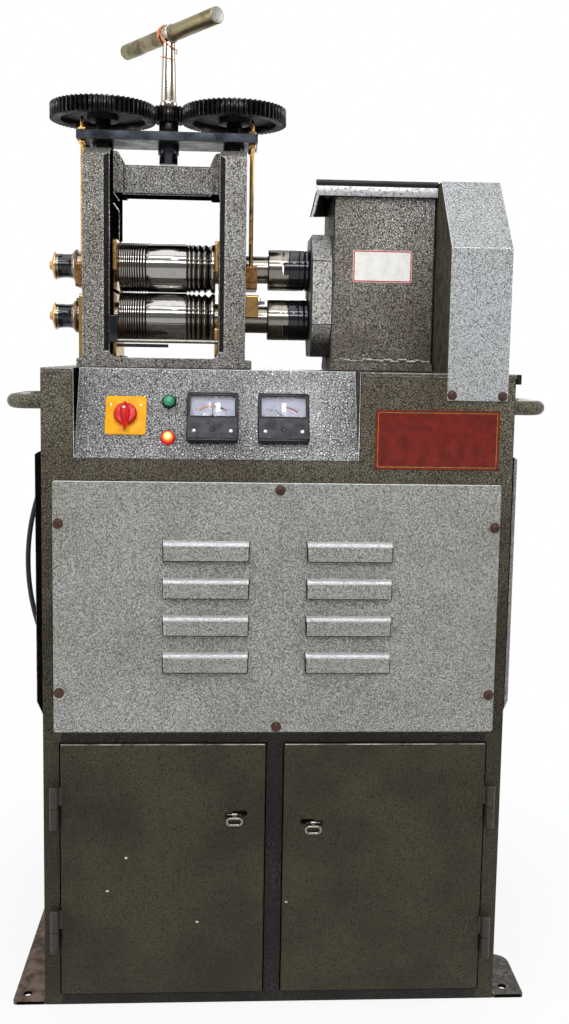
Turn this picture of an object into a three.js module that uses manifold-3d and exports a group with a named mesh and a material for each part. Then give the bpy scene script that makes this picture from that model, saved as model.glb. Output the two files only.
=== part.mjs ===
// Motor driven jewellers rolling mill on a sheet metal cabinet.
// Millimetres. X runs right, Y runs back, Z runs up. The front faces -Y.
// The origin is the centre of the cabinet's floor.
import * as THREE from 'three';
import { mergeVertices } from 'three/addons/utils/BufferGeometryUtils.js';
import Module from 'manifold-3d';

const wasm = await Module();
wasm.setup();

// Gaps
const seam = 0.3;
const shaftGap = 0.5;

// Cabinet. Its width follows the machine that stands on it.
const benchLeft = 164;
const benchRight = 11.5;
const cabinetDepth = 450;
const cabinetHeight = 935;
const sheet = 2.5;
const topThickness = 6;
const floorThickness = 3;
const footThickness = 6;
const footReach = 47;
const footLength = 107;
const shelfRise = 6.5;
const lipReach = 8;
const lipDrop = 14;
const backSlotLength = 120;
const backSlotLeft = -150;
const backSlotRight = 30;
const backSlotPitch = 42;
const glandInset = 83;
const glandZ = 90;

// Doors
const doorStile = 24.5;
const doorHeight = 380;
const doorBottom = 17.5;
const doorGap = 1.5;
const centrePost = 24;
const doorSheet = 2;
const doorProud = 3;
const doorReturn = 20;
const hingeOut = 8.5;
const knuckleRadius = 6.5;
const hingePin = 3.5;
const hingeHeight = 64;
const leftHingeDrops = [92.5, 279.5];
const rightHingeDrops = [93.5, 294.5];
const pullX = 62;
const leftPullDrop = 106.5;
const rightPullDrop = 119.5;

// Vent cover
const ventMargin = 15.5;
const ventRise = 17.5;
const ventDrop = 31;
const ventLap = 25;
const louvreWidth = 122;
const louvreCentre = 102;
const louvreHeight = 28;
const louvrePitch = 53.7;
const louvreInset = 84;
const louvreDepth = 9;

// Sloping control panel
const panelInset = 44;
const panelWidth = 402;
const panelHeight = 126;
const panelDepth = 53;
const panelSheetY = 2.7;

// Carrying loops
const loopRadius = 11;
const loopReach = 44;
const loopInset = 25;
const loopLength = 120;
const loopDrop = 48;
const loopBend = 22;

// Side covers and the held lead
const coverDeep = 13;
const coverInset = 25;
const coverDrop = 117;
const coverBelowShelf = 14;
const leadRadius = 3.75;
const leadInset = 42;
const leadSpan = 276;
const leadBulge = 29.5;
const leadY = -100;

// Mill head
const millY = -33;
const rollRadius = 38;
const rollLength = 152;
const rollGap = 0.6;
const underRoll = 24.5;
const endPlay = 0.5;
const flangeThickness = 3.2;
const flangeHalf = 58;
const journalRadius = 23.5;
const outerJournalRadius = 21.5;
const endJournalRadius = 15;
const postFront = 97;
const windowHalf = 48;
const railThickness = 14.7;
const windowHeight = 230;
const headThickness = 77;
const housingOutside = 19.5;
const bossReach = 15;
const blockInset = 2.5;
const flangeLift = 2.5;
const cradleThickness = 18;

// Screw gears
const gearModule = 2.5;
const gearTeeth = 62;
const pinionTeeth = 18;
const gearWidth = 22.4;
const gearBacklash = 0.35;
const screwRadius = 14;
const shankRadius = 11;
const collarReach = 2.5;
const gearBore = 10;
const gearRim = 10.4;
const plateThickness = 13.4;
const plateLift = 17;
const hubHeight = 20.2;
const rodRadius = 3;
const barRadius = 12;
const barLength = 255;
const barTurn = -48;
const barHeight = 108;
const liftRange = 4.5;

// Couplings, gearbox and belt drive
const couplingRadius = 32;
const couplingStart = 34.9;
const rollHubLength = 32.8;
const discLength = 14.8;
const outputHubLength = 16.6;
const tongueWidth = 18.4;
const tongueReach = 8;
const castingLength = 29;
const gearboxLength = 153.5;
const gearboxHeight = 258;
const gearboxHalf = 78;
const lidThickness = 22;
const lidOverhang = 7;
const lidLeft = 28;
const flapDrop = 32;
const flapLean = 9;
const flapSheet = 2.6;
const outputRadius = 20;
const guardWidth = 87;
const guardWall = 2;
const guardTop = 279;
const guardBackInset = 64;
const guardFold = 104;
const guardSlant = 90;
const guardLap = 38;
const pulleyAxisHeight = 130;
const inputPitchRadius = 98;
const motorPitchRadius = 36;
const beltTop = 17;
const beltHeight = 11;
const beltCrown = 3.5;
const grooveTangent = 0.344;
const motorAxisHeight = 96;
const motorRadius = 80;
const motorLength = 240;
const terminalStart = 90;
const terminalLength = 80;

// Machine lengths, measured along X from the middle of the rolls
const rollHalf = rollLength / 2;
const housingInner = rollHalf + endPlay + flangeThickness + seam;
const gearCentre = (gearModule * (gearTeeth + pinionTeeth)) / 2;
const housingOuter = gearCentre + housingOutside;
const outerJournalEnd = housingOuter + couplingStart;
const discStart = outerJournalEnd + rollHubLength + seam;
const outputStart = discStart + discLength + seam;
const castingReach = outputStart + outputHubLength + shaftGap;
const gearboxReach = castingReach + castingLength + seam;
const guardReach = gearboxReach + gearboxLength + 2 * shaftGap;
const machineReach = guardReach + guardWidth;

// Derived places
const cabinetWidth = benchLeft + machineReach + benchRight;
const sideX = cabinetWidth / 2;
const millX = benchLeft - sideX;
const frontY = -cabinetDepth / 2;
const backY = cabinetDepth / 2;
const topZ = cabinetHeight;
const underTopZ = topZ - topThickness;
const shellTopZ = underTopZ - seam;
const doorInner = centrePost / 2 + doorGap;
const doorOuter = sideX - doorStile;
const doorTop = doorBottom + doorHeight;
const shelfZ = doorTop + shelfRise;
const hingeX = doorOuter + hingeOut;
const doorFrontY = frontY - doorProud;
const doorBackY = doorFrontY + doorSheet;
const hingeY = doorFrontY - 5;
const panelBottom = topZ - panelHeight;
const panelSlope = panelHeight / panelDepth;
const panelLeft = -sideX + panelInset;
const panelRight = panelLeft + panelWidth;
const ventHalfWidth = sideX - ventMargin;
const ventBottom = doorTop + ventRise;
const ventTop = panelBottom - ventDrop;
const louvreTop = ventTop - louvreInset;
const coverHalfLength = backY - coverInset;
const coverBottom = shelfZ - coverBelowShelf;
const coverTop = topZ - coverDrop;
const leadHighZ = coverTop - leadInset;
const leadLowZ = leadHighZ - leadSpan;
const loopZ = topZ - loopDrop;
const loopFront = frontY + loopInset;
const loopBack = loopFront + loopLength;
const baseZ = topZ + seam;
const railTopZ = baseZ + railThickness;
const lowerAxisZ = railTopZ + underRoll + rollRadius;
const upperAxisZ = lowerAxisZ + 2 * rollRadius + rollGap;
const blockHalf = rollRadius - blockInset;
const windowTopZ = railTopZ + windowHeight;
const headTopZ = windowTopZ + headThickness;
const boreRadius = journalRadius + shaftGap;
const seatRadius = outerJournalRadius + shaftGap;
const upperBlockTopZ = upperAxisZ + blockHalf;
const plateZ = headTopZ + plateLift;
const plateTopZ = plateZ + plateThickness;
const gearZ = plateTopZ + hubHeight;
const gearTopZ = gearZ + gearWidth;
const barZ = gearTopZ + barHeight;
const castingX = millX + castingReach;
const gearboxX = millX + gearboxReach;
const gearboxEnd = gearboxX + gearboxLength;
const gearboxTopZ = baseZ + gearboxHeight;
const guardX = millX + guardReach;
const guardEnd = guardX + guardWidth;
const guardTopZ = topZ + guardTop;
const pulleyX = guardX + 30;
const pulleyWidth = beltTop + 7;
const pulleyMid = pulleyX + pulleyWidth / 2;
const inputAxisZ = topZ + pulleyAxisHeight;
const motorAxisZ = shelfZ + motorAxisHeight;

const axisX = new THREE.Vector3(1, 0, 0);
const axisY = new THREE.Vector3(0, 1, 0);
const axisZ = new THREE.Vector3(0, 0, 1);
const degree = Math.PI / 180;

// Solid making

function toSolid(geometry) {
  const bare = geometry.clone();
  bare.deleteAttribute('normal');
  bare.deleteAttribute('uv');
  const merged = mergeVertices(bare, 1e-4);
  const index = merged.index.array;
  const kept = [];
  for (let i = 0; i < index.length; i += 3) {
    const [a, b, c] = [index[i], index[i + 1], index[i + 2]];
    if (a !== b && b !== c && c !== a) kept.push(a, b, c);
  }
  const vertProperties = new Float32Array(merged.attributes.position.array);
  const make = (triangles) => {
    const triVerts = new Uint32Array(triangles);
    return new wasm.Manifold(new wasm.Mesh({ numProp: 3, vertProperties, triVerts }));
  };
  const solid = make(kept);
  return solid.volume() > 0 ? solid : make(kept.reverse());
}

function toGeometry(solid) {
  const mesh = solid.getMesh();
  const geometry = new THREE.BufferGeometry();
  const count = mesh.vertProperties.length / mesh.numProp;
  const places = new Float32Array(count * 3);
  for (let i = 0; i < count; i += 1) {
    for (let k = 0; k < 3; k += 1) places[i * 3 + k] = mesh.vertProperties[i * mesh.numProp + k];
  }
  geometry.setAttribute('position', new THREE.BufferAttribute(places, 3));
  geometry.setIndex(new THREE.BufferAttribute(new Uint32Array(mesh.triVerts), 1));
  return geometry;
}

function join(...pieces) {
  const [first, ...others] = pieces.map(toSolid);
  return toGeometry(others.reduce((whole, piece) => whole.add(piece), first));
}

function cut(base, ...tools) {
  return toGeometry(tools.map(toSolid).reduce((left, tool) => left.subtract(tool), toSolid(base)));
}

function common(first, second) {
  return toGeometry(toSolid(first).intersect(toSolid(second)));
}

function box(x0, x1, y0, y1, z0, z1) {
  const shape = new THREE.BoxGeometry(x1 - x0, y1 - y0, z1 - z0);
  return shape.translate((x0 + x1) / 2, (y0 + y1) / 2, (z0 + z1) / 2);
}

function vectors(points) {
  return points.map(([u, v]) => new THREE.Vector2(u, v));
}

function push(points, depth) {
  const shape = new THREE.Shape(vectors(points));
  return new THREE.ExtrudeGeometry(shape, { depth, bevelEnabled: false, steps: 1 });
}

// Holes are cut as solids, because outlines with several level holes don't always close.
function slab(points, depth, holes = []) {
  const whole = push(points, depth);
  if (!holes.length) return whole;
  return cut(whole, ...holes.map((hole) => push(hole, depth + 2).translate(0, 0, -1)));
}

// Outlines given as [y, z] pairs, pushed along X.
function alongX(points, x0, x1, holes) {
  const place = new THREE.Matrix4().makeBasis(axisY, axisZ, axisX).setPosition(x0, 0, 0);
  return slab(points, x1 - x0, holes).applyMatrix4(place);
}

// Outlines given as [x, z] pairs, pushed along Y.
function alongY(points, y0, y1, holes) {
  const place = new THREE.Matrix4();
  place.makeBasis(axisX, axisZ, axisY.clone().negate()).setPosition(0, y1, 0);
  return slab(points, y1 - y0, holes).applyMatrix4(place);
}

// Outlines given as [x, y] pairs, pushed along Z.
function alongZ(points, z0, z1, holes) {
  return slab(points, z1 - z0, holes).translate(0, 0, z0);
}

function rectangle(u0, u1, v0, v1) {
  return [[u0, v0], [u1, v0], [u1, v1], [u0, v1]];
}

function circle(u, v, radius, sides = 16) {
  return Array.from({ length: sides }, (_, i) => {
    const angle = ((i + 0.5) * 2 * Math.PI) / sides;
    return [u + radius * Math.cos(angle), v + radius * Math.sin(angle)];
  });
}

function roundedCorner(before, corner, after, radius, steps) {
  const p = new THREE.Vector2(...corner);
  const a = new THREE.Vector2(...before).sub(p).normalize();
  const b = new THREE.Vector2(...after).sub(p).normalize();
  const half = Math.acos(THREE.MathUtils.clamp(a.dot(b), -1, 1)) / 2;
  const middle = a.clone().add(b).normalize();
  const centre = p.clone().addScaledVector(middle, radius / Math.sin(half));
  const start = p.clone().addScaledVector(a, radius / Math.tan(half)).sub(centre);
  const end = p.clone().addScaledVector(b, radius / Math.tan(half)).sub(centre);
  const from = start.angle();
  let turn = end.angle() - from;
  if (turn > Math.PI) turn -= 2 * Math.PI;
  if (turn < -Math.PI) turn += 2 * Math.PI;
  return Array.from({ length: steps + 1 }, (_, i) => {
    const angle = from + (turn * i) / steps;
    return [centre.x + radius * Math.cos(angle), centre.y + radius * Math.sin(angle)];
  });
}

// Corner radii are one number for all corners or a list with one number for each.
function rounded(points, radii, steps = 3) {
  return points.flatMap((corner, i) => {
    const radius = Array.isArray(radii) ? radii[i] : radii;
    if (radius <= 0) return [corner];
    const before = points[(i + points.length - 1) % points.length];
    const after = points[(i + 1) % points.length];
    return roundedCorner(before, corner, after, radius, steps);
  });
}

// Profiles given as [radius, height] pairs and turned about the upright axis.
function turnedZ(profile, x, y, segments = 24) {
  const shape = new THREE.LatheGeometry(vectors(profile), segments);
  return shape.rotateX(Math.PI / 2).translate(x, y, 0);
}

// The same, about an axis along X. The heights are X places.
function turnedX(profile, y, z, segments = 24) {
  const shape = new THREE.LatheGeometry(vectors(profile), segments);
  return shape.rotateZ(-Math.PI / 2).translate(0, y, z);
}

function rodX(x0, x1, radius, y, z, segments = 24) {
  return turnedX([[0, x0], [radius, x0], [radius, x1], [0, x1]], y, z, segments);
}

function rodZ(z0, z1, radius, x, y, segments = 24) {
  return turnedZ([[0, z0], [radius, z0], [radius, z1], [0, z1]], x, y, segments);
}

function tube(points, radius, steps, sides) {
  const route = points.map(([x, y, z]) => new THREE.Vector3(x, y, z));
  const extrudePath = new THREE.CatmullRomCurve3(route, false, 'centripetal');
  const shape = new THREE.Shape(vectors(circle(0, 0, radius, sides)));
  return new THREE.ExtrudeGeometry(shape, { steps, extrudePath });
}

function mirrored(geometry) {
  const copy = toGeometry(toSolid(geometry)).scale(-1, 1, 1);
  return toGeometry(toSolid(copy));
}

// Cabinet

function floorPlate() {
  const x = sideX - sheet - seam;
  const y = backY - sheet - seam;
  const drain = circle(0, 0, 15, 16);
  return alongZ(rectangle(-x, x, -y, y), 0, floorThickness, [drain.map(([u, v]) => [u + 200, v + 120])]);
}

function leftFoot() {
  const x = -sideX - seam;
  const outline = rounded(rectangle(x - footReach, x, frontY, backY), [6, 0, 0, 6]);
  const holes = [frontY + 20, backY - 20].map((y) => circle(x - footReach * 0.6, y, 6));
  return alongZ(outline, 0, footThickness, holes);
}

function rightFoot(y0, y1, radii) {
  const x = sideX + seam;
  const outline = rounded(rectangle(x, x + footReach, y0, y1), radii, 5);
  const y = y0 < 0 ? y0 + 20 : y1 - 20;
  return alongZ(outline, 0, footThickness, [circle(x + footReach * 0.42, y, 6)]);
}

function leftSide() {
  const x0 = -sideX;
  const x1 = x0 + sheet;
  const y0 = frontY + sheet + seam;
  const y1 = backY - sheet - seam;
  const slots = [0, 1, 2, 3, 4, 5].map((i) => {
    const z = coverBottom + 90 + i * 50;
    return rectangle(-60, 60, z, z + 8);
  });
  const flange = 18;
  const z0 = floorThickness + seam;
  return join(
    alongX(rectangle(y0, y1, 0, shellTopZ), x0, x1, slots),
    box(x1 - seam, x1 + flange, y0, y0 + sheet, z0, shellTopZ),
    box(x1 - seam, x1 + flange, y1 - sheet, y1, z0, shellTopZ),
  );
}

function backPanel() {
  const slots = [];
  for (const x of [backSlotLeft, backSlotRight]) {
    for (let i = 0; i < 5; i += 1) {
      const z = shelfZ + 90 + i * backSlotPitch;
      slots.push(rectangle(x, x + backSlotLength, z, z + 9));
    }
  }
  const glandX = -sideX + glandInset;
  const hole = circle(glandX, glandZ, 9, 9);
  const plate = alongY(rectangle(-sideX, sideX, 0, shellTopZ), backY - sheet, backY, [...slots, hole]);
  const gland = [[9, backY - sheet], [13, backY - sheet], [13, backY + 9], [10, backY + 13],
    [6.5, backY + 13], [6.5, backY + 4], [9, backY - sheet]];
  const collar = new THREE.LatheGeometry(vectors(gland), 9).translate(glandX, 0, glandZ);
  return join(plate, collar);
}

function topPlate() {
  const notchY = frontY + panelDepth + panelSheetY + seam;
  const outline = [[-sideX, frontY], [panelLeft, frontY], [panelLeft, notchY], [panelRight, notchY],
    [panelRight, frontY], [sideX + lipReach, frontY], [sideX + lipReach, backY], [-sideX, backY]];
  const slotHalf = inputPitchRadius - 3;
  const slot = rounded(rectangle(pulleyX - 15, pulleyX + pulleyWidth + 15, millY - slotHalf,
    millY + slotHalf), 8);
  const lip = box(sideX + 2, sideX + lipReach, frontY, backY, topZ - lipDrop, underTopZ + 1);
  return join(alongZ(outline, underTopZ, topZ, [slot]), lip);
}

function hingeZs(side) {
  return (side < 0 ? leftHingeDrops : rightHingeDrops).map((drop) => doorTop - drop);
}

function pullHeight(side) {
  return doorTop - (side < 0 ? leftPullDrop : rightPullDrop);
}

function frameKnuckle(side, z) {
  const x = side * hingeX;
  const low = z - hingeHeight / 2;
  const inward = -side;
  const profile = [[0, low], [knuckleRadius - 1, low], [knuckleRadius, low + 1],
    [knuckleRadius, z - seam], [hingePin, z - seam], [hingePin, z + hingeHeight * 0.4],
    [0, z + hingeHeight * 0.4]];
  const edges = [x + inward * 2, x - inward * 5].sort((a, b) => a - b);
  const weld = box(edges[0], edges[1], hingeY + 3, frontY + 1, low + 2, z - 2);
  return join(turnedZ(profile, x, hingeY, 8), weld);
}

function frontFrame() {
  const outer = [[-sideX, 0], [sideX, 0], [sideX, shellTopZ], [panelRight, shellTopZ],
    [panelRight, panelBottom], [panelLeft, panelBottom], [panelLeft, shellTopZ], [-sideX, shellTopZ]];
  const low = doorBottom - doorGap;
  const high = doorTop + doorGap;
  const openings = [-1, 1].map((side) => {
    const edges = [side * (centrePost / 2), side * (doorOuter + doorGap)].sort((a, b) => a - b);
    return rectangle(edges[0], edges[1], low, high);
  });
  const vent = rectangle(-ventHalfWidth + ventLap, ventHalfWidth - ventLap, ventBottom + ventLap,
    ventTop - ventLap);
  const face = alongY(outer, frontY, frontY + sheet, [...openings, vent]);
  const knuckles = [-1, 1].flatMap((side) => hingeZs(side).map((z) => frameKnuckle(side, z)));
  return join(face, ...knuckles);
}

function motorShelf() {
  const x = sideX - sheet - seam;
  const y = backY - 2 * sheet - 2 * seam;
  const shelf = box(-x, x, -y, y, shelfZ, shelfZ + 3);
  const lips = [-1, 1].map((side) => {
    const edges = [side * x, side * (x - 3)].sort((a, b) => a - b);
    return box(edges[0], edges[1], -y, y, shelfZ - 20, shelfZ + 1);
  });
  return join(shelf, ...lips);
}

// Places on the panel are given from its lower left corner, along X and up Z.
function panelPlace([along, up]) {
  return [panelLeft + along, panelBottom + up];
}

function onPanel(geometry, x, z) {
  const up = new THREE.Vector3(0, panelDepth, panelHeight).normalize();
  const out = new THREE.Vector3().crossVectors(axisX, up);
  const y = frontY + (z - panelBottom) / panelSlope;
  const place = new THREE.Matrix4().makeBasis(axisX, up, out).setPosition(x, y, z);
  return geometry.applyMatrix4(place);
}

const meterPlaces = [[194, 56], [294.6, 56]].map(panelPlace);
const lampPlaces = [[131.8, 79], [131.4, 29]].map(panelPlace);
const switchPlace = panelPlace([71.4, 59.4]);
const meterSize = 73;
const meterBarrel = 25;
const lampBarrel = 7;

function controlPanel() {
  const x0 = panelLeft + seam;
  const x1 = panelRight - seam;
  const low = panelBottom + seam;
  const at = (z) => frontY + (z - panelBottom) / panelSlope;
  const face = alongX([[at(low), low], [at(topZ), topZ], [at(topZ) + panelSheetY, topZ],
    [at(low) + panelSheetY, low]], x0, x1);
  const top = box(x0, x1, at(topZ) - 2, at(topZ) + 16, shellTopZ - sheet, shellTopZ);
  const bottom = box(x0, x1, frontY + sheet + seam, frontY + 2 * sheet + seam, low - 14, low + 3);
  const cheek = [[frontY + seam, low], [frontY + seam, topZ], [at(topZ) + 1, topZ], [at(low) + 1, low]];
  const body = join(face, top, bottom, alongX(cheek, x0, x0 + 2), alongX(cheek, x1 - 2, x1));
  const hole = (place, radius) => onPanel(rodZ(-20, 20, radius, 0, 0, 12), ...place);
  return cut(body, ...meterPlaces.map((place) => hole(place, meterBarrel + seam * 2)),
    ...lampPlaces.map((place) => hole(place, lampBarrel + seam * 2)), hole(switchPlace, 8));
}

function meter(place) {
  const half = meterSize / 2;
  const bezel = alongZ(rounded(rectangle(-half, half, -half, half), 4), seam, 12);
  const window = alongZ(rounded(rectangle(-33, 33, -2, 33), 2, 1), 4, 13);
  const barrel = rodZ(-26, seam + 1, meterBarrel - 0.6, 0, 0, 14);
  const pivot = rodZ(3.5, 5, 2, 0, 2, 12);
  return onPanel(join(cut(join(bezel, barrel), window), pivot), ...place);
}

function needle(place, angle) {
  const hub = rodZ(5.3, 7.8, 3.2, 0, 0, 12);
  const blade = alongZ([[-1.4, -3], [1.4, -3], [0.5, 29], [-0.5, 29]], 5.8, 7.2);
  const piece = join(hub, blade).rotateZ(angle * degree).translate(0, 2, 0);
  return onPanel(piece, ...place);
}

function lamp(place) {
  const profile = [[0, -18], [lampBarrel, -18], [lampBarrel, seam], [10.5, seam], [10.5, 3],
    [9, 4.5], [8, 4.5], [7.6, 8], [5.8, 11], [3, 12.6], [0, 13]];
  return onPanel(turnedZ(profile, 0, 0, 12), ...place);
}

function switchPlate() {
  const half = 28.75;
  const plate = alongZ(rounded(rectangle(-half, half, -half, half), 3), seam, 3);
  const collar = rodZ(2, 6, 11, 0, 0, 14);
  const neck = rodZ(-14, 1, 7, 0, 0, 12);
  return onPanel(cut(join(plate, collar, neck), rodZ(-6, 8, 3.6, 0, 0, 12)), ...switchPlace);
}

function switchKnob() {
  const profile = [[0, -5], [3, -5], [3, 6.5], [16.5, 6.5], [16.5, 10], [14.5, 15], [0, 15]];
  const wing = alongZ(rounded(rectangle(-4.5, 4.5, -15.5, 15.5), [2, 2, 3.5, 3.5]), 14, 24);
  return onPanel(join(turnedZ(profile, 0, 0, 14), wing), ...switchPlace);
}

function louvre(x0, x1, z) {
  const face = frontY - sheet - seam;
  const low = z - louvreHeight;
  const out = face - louvreDepth;
  const hood = alongX([[face + 1, z], [face - 1, z], [out + 4, z - 1.5], [out + 1.2, z - 6.5],
    [out, low], [face + 1, low]], x0, x1);
  const wall = 1.6;
  const hollow = alongX([[face + 4, z - 4.5], [face - 2.8, z - 4.5], [out + 3, z - 8.5],
    [out + wall, low - 1], [face, low - 1], [face, low + 3], [face + 4, low + 3]], x0 + wall, x1 - wall);
  return [hood, hollow];
}

function ventCover() {
  const back = frontY - seam;
  let plate = alongY(rounded(rectangle(-ventHalfWidth, ventHalfWidth, ventBottom, ventTop), 3, 2),
    back - sheet, back);
  const hoods = [];
  const hollows = [];
  for (const centre of [-louvreCentre, louvreCentre]) {
    for (let row = 0; row < 4; row += 1) {
      const z = louvreTop - row * louvrePitch;
      const [hood, hollow] = louvre(centre - louvreWidth / 2, centre + louvreWidth / 2, z);
      hoods.push(hood);
      hollows.push(hollow);
    }
  }
  plate = join(plate, ...hoods);
  return cut(plate, ...hollows);
}

function sideCoverShell() {
  const x = -sideX - seam;
  const out = -sideX - coverDeep;
  const outline = [[x, coverBottom], [x - 4, coverBottom + 42], [out, coverBottom + 62],
    [out, coverTop - 6], [out + 4, coverTop - 3], [x, coverTop]];
  const inner = [[x + 1, coverBottom + 12], [x - 2, coverBottom + 44], [out + 2, coverBottom + 63.4],
    [out + 2, coverTop - 8], [x + 1, coverTop - 6]];
  const half = coverHalfLength;
  return cut(alongY(outline, -half, half), alongY(inner, -half + 2, half - 2));
}

function leadRoute(extra = 0) {
  const face = -sideX - coverDeep;
  const half = (leadHighZ - leadLowZ) / 2;
  const middle = leadLowZ + half;
  const radius = (half * half + leadBulge * leadBulge) / (2 * leadBulge);
  const reach = Math.asin(half / radius) - 0.012 + extra;
  return [-1, -0.75, -0.5, -0.25, 0, 0.25, 0.5, 0.75, 1].map((part) => {
    const angle = part * reach;
    const x = face + radius - leadBulge - radius * Math.cos(angle);
    return [x, leadY, middle + radius * Math.sin(angle)];
  });
}

function sideLead() {
  return tube(leadRoute(), leadRadius, 14, 6);
}

function leftSideCover() {
  const face = -sideX - coverDeep;
  const domes = [leadLowZ, leadHighZ].map((z) => {
    const away = z === leadLowZ ? 8 : -8;
    const profile = [[0, face - 9], [6, face - 9], [10, face - 6], [11, face + 1], [0, face + 1]];
    return turnedX(profile, leadY, z + away, 12);
  });
  const channel = tube(leadRoute(0.05), leadRadius + seam * 2, 14, 6);
  return cut(join(sideCoverShell(), ...domes), channel);
}

function liftLoop(side) {
  const x0 = sideX + seam;
  const x2 = sideX + loopReach;
  const bend = loopBend;
  const route = [[x0, loopFront], [x0 + 8, loopFront], [x2 - bend, loopFront]];
  for (let i = 1; i <= 4; i += 1) {
    const angle = (i * 22.5 - 90) * degree;
    route.push([x2 - bend + bend * Math.cos(angle), loopFront + bend + bend * Math.sin(angle)]);
  }
  route.push([x2, (loopFront + loopBack) / 2]);
  for (let i = 0; i < 4; i += 1) {
    const angle = i * 22.5 * degree;
    route.push([x2 - bend + bend * Math.cos(angle), loopBack - bend + bend * Math.sin(angle)]);
  }
  route.push([x2 - bend, loopBack], [x0 + 8, loopBack], [x0, loopBack]);
  const points = route.map(([x, y]) => [side * x, y, loopZ]);
  return tube(points, loopRadius, 16, 8);
}

function door(side) {
  const [x0, x1] = [side * doorInner, side * doorOuter].sort((a, b) => a - b);
  const z0 = doorBottom;
  const z1 = doorTop;
  const slotZ = pullHeight(side);
  const slotX = side * pullX;
  const slot = rounded(rectangle(slotX - 10, slotX + 10, slotZ - 3.25, slotZ + 3.25), 2, 2);
  const inside = doorFrontY + doorReturn;
  const back = doorBackY - seam;
  const pieces = [
    alongY(rectangle(x0, x1, z0, z1), doorFrontY, doorBackY, [slot]),
    box(x0, x0 + doorSheet, back, inside, z0, z1),
    box(x1 - doorSheet, x1, back, inside, z0, z1),
    box(x0, x1, back, inside, z0, z0 + doorSheet),
    box(x0, x1, back, inside, z1 - doorSheet, z1),
    rodX(slotX - 11, slotX + 11, 1.2, (doorFrontY + doorBackY) / 2, slotZ, 8),
  ];
  const bores = [];
  for (const z of hingeZs(side)) {
    const top = z + hingeHeight / 2;
    const x = side * hingeX;
    const profile = [[0, z + seam], [knuckleRadius, z + seam], [knuckleRadius, top - 2],
      [knuckleRadius - 2, top], [0, top]];
    const edges = [x, side * (doorOuter - 3)].sort((a, b) => a - b);
    pieces.push(turnedZ(profile, x, hingeY, 8));
    pieces.push(box(edges[0], edges[1], hingeY + 3, doorBackY, z + 2, top - 3));
    bores.push(rodZ(z - 5, z + hingeHeight * 0.4 + 1.6, hingePin + shaftGap, x, hingeY, 8));
  }
  return cut(join(...pieces), ...bores);
}

function pull(side) {
  const z = pullHeight(side);
  const x = side * (pullX - 4.5);
  const pinY = (doorFrontY + doorBackY) / 2;
  const eye = cut(rodX(x - 4, x + 4, 2.8, pinY, z, 12), rodX(x - 6, x + 6, 1.6, pinY, z, 8));
  const arm = box(x - 3.5, x + 3.5, pinY - 5.4, pinY - 1.8, z - 4, z);
  const ringY = pinY - 4.2;
  const route = [];
  for (let i = 0; i < 16; i += 1) {
    const angle = ((i + 0.5) * Math.PI) / 8;
    const out = Math.cos(angle) > 0 ? 6 : -6;
    route.push(new THREE.Vector3(x + out + 5 * Math.cos(angle), ringY, z - 9.2 + 5 * Math.sin(angle)));
  }
  const path = new THREE.CatmullRomCurve3(route, true, 'centripetal');
  const ring = new THREE.TubeGeometry(path, 16, 2, 5, true);
  return join(eye, arm, ring);
}

// Mill head

function housing(side) {
  const front = millY - postFront;
  const back = millY + postFront;
  const shoulder = headTopZ - 14;
  const profile = [[front, baseZ], [back, baseZ], [back, shoulder], [back - 35, headTopZ],
    [front + 35, headTopZ], [front, shoulder]];
  const window = rounded(rectangle(millY - windowHalf, millY + windowHalf, railTopZ, windowTopZ), 8, 3);
  const [x0, x1] = [side * housingInner, side * housingOuter].sort((a, b) => a - b);
  return alongX(rounded(profile, [0, 0, 6, 12, 12, 6]), millX + x0, millX + x1, [window]);
}

function millFrame() {
  const front = millY - postFront;
  const back = millY + postFront;
  const inner = housingInner;
  const pieces = [housing(-1), housing(1)];
  const tools = [];
  pieces.push(box(millX - inner - 1, millX + inner + 1, front, back, baseZ, railTopZ));
  const bossLow = windowTopZ + 16;
  for (const side of [-1, 1]) {
    const wall = millX + side * (inner + 1);
    const tip = millX + side * (inner - bossReach);
    const boss = [[wall, bossLow], [tip, bossLow], [tip, headTopZ - 17], [tip + side * 7, headTopZ - 2],
      [tip + side * 10, headTopZ], [wall, headTopZ]];
    pieces.push(alongY(boss, millY - 42, millY + 42));
    const edge = millX + side * inner;
    const fillet = [[edge + side, railTopZ - 1], [edge - side * 9, railTopZ - 1], [edge - side * 9, railTopZ],
      [edge - side * 3, railTopZ + 3], [edge, railTopZ + 9], [edge + side, railTopZ + 9]];
    pieces.push(alongY(fillet, front, millY - flangeHalf - seam));
    pieces.push(alongY(fillet, millY + flangeHalf + seam, back));
    const chamfer = [[edge + side * 5, front - 1], [edge - side, front - 1], [edge - side, front + 6],
      [edge, front + 6]];
    tools.push(alongZ(chamfer, railTopZ + 9, headTopZ + 1));
    const screwX = millX + side * gearCentre;
    tools.push(rodZ(windowTopZ - 5, headTopZ + 5, screwRadius + 2 * seam, screwX, millY, 14));
    const lugs = [millX + side * (housingOuter - 2), millX + side * (housingOuter + 10)];
    const [l0, l1] = lugs.sort((a, b) => a - b);
    for (const y of [front + 8, back - 42]) {
      pieces.push(box(l0, l1, y, y + 34, baseZ, baseZ + 13));
    }
  }
  const bar = rounded(rectangle(millY - 27, millY + 27, bossLow, headTopZ - 17), 3, 1);
  pieces.push(alongX(bar, millX - inner + bossReach - 1, millX + inner - bossReach + 1));
  return cut(join(...pieces), ...tools);
}

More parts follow.
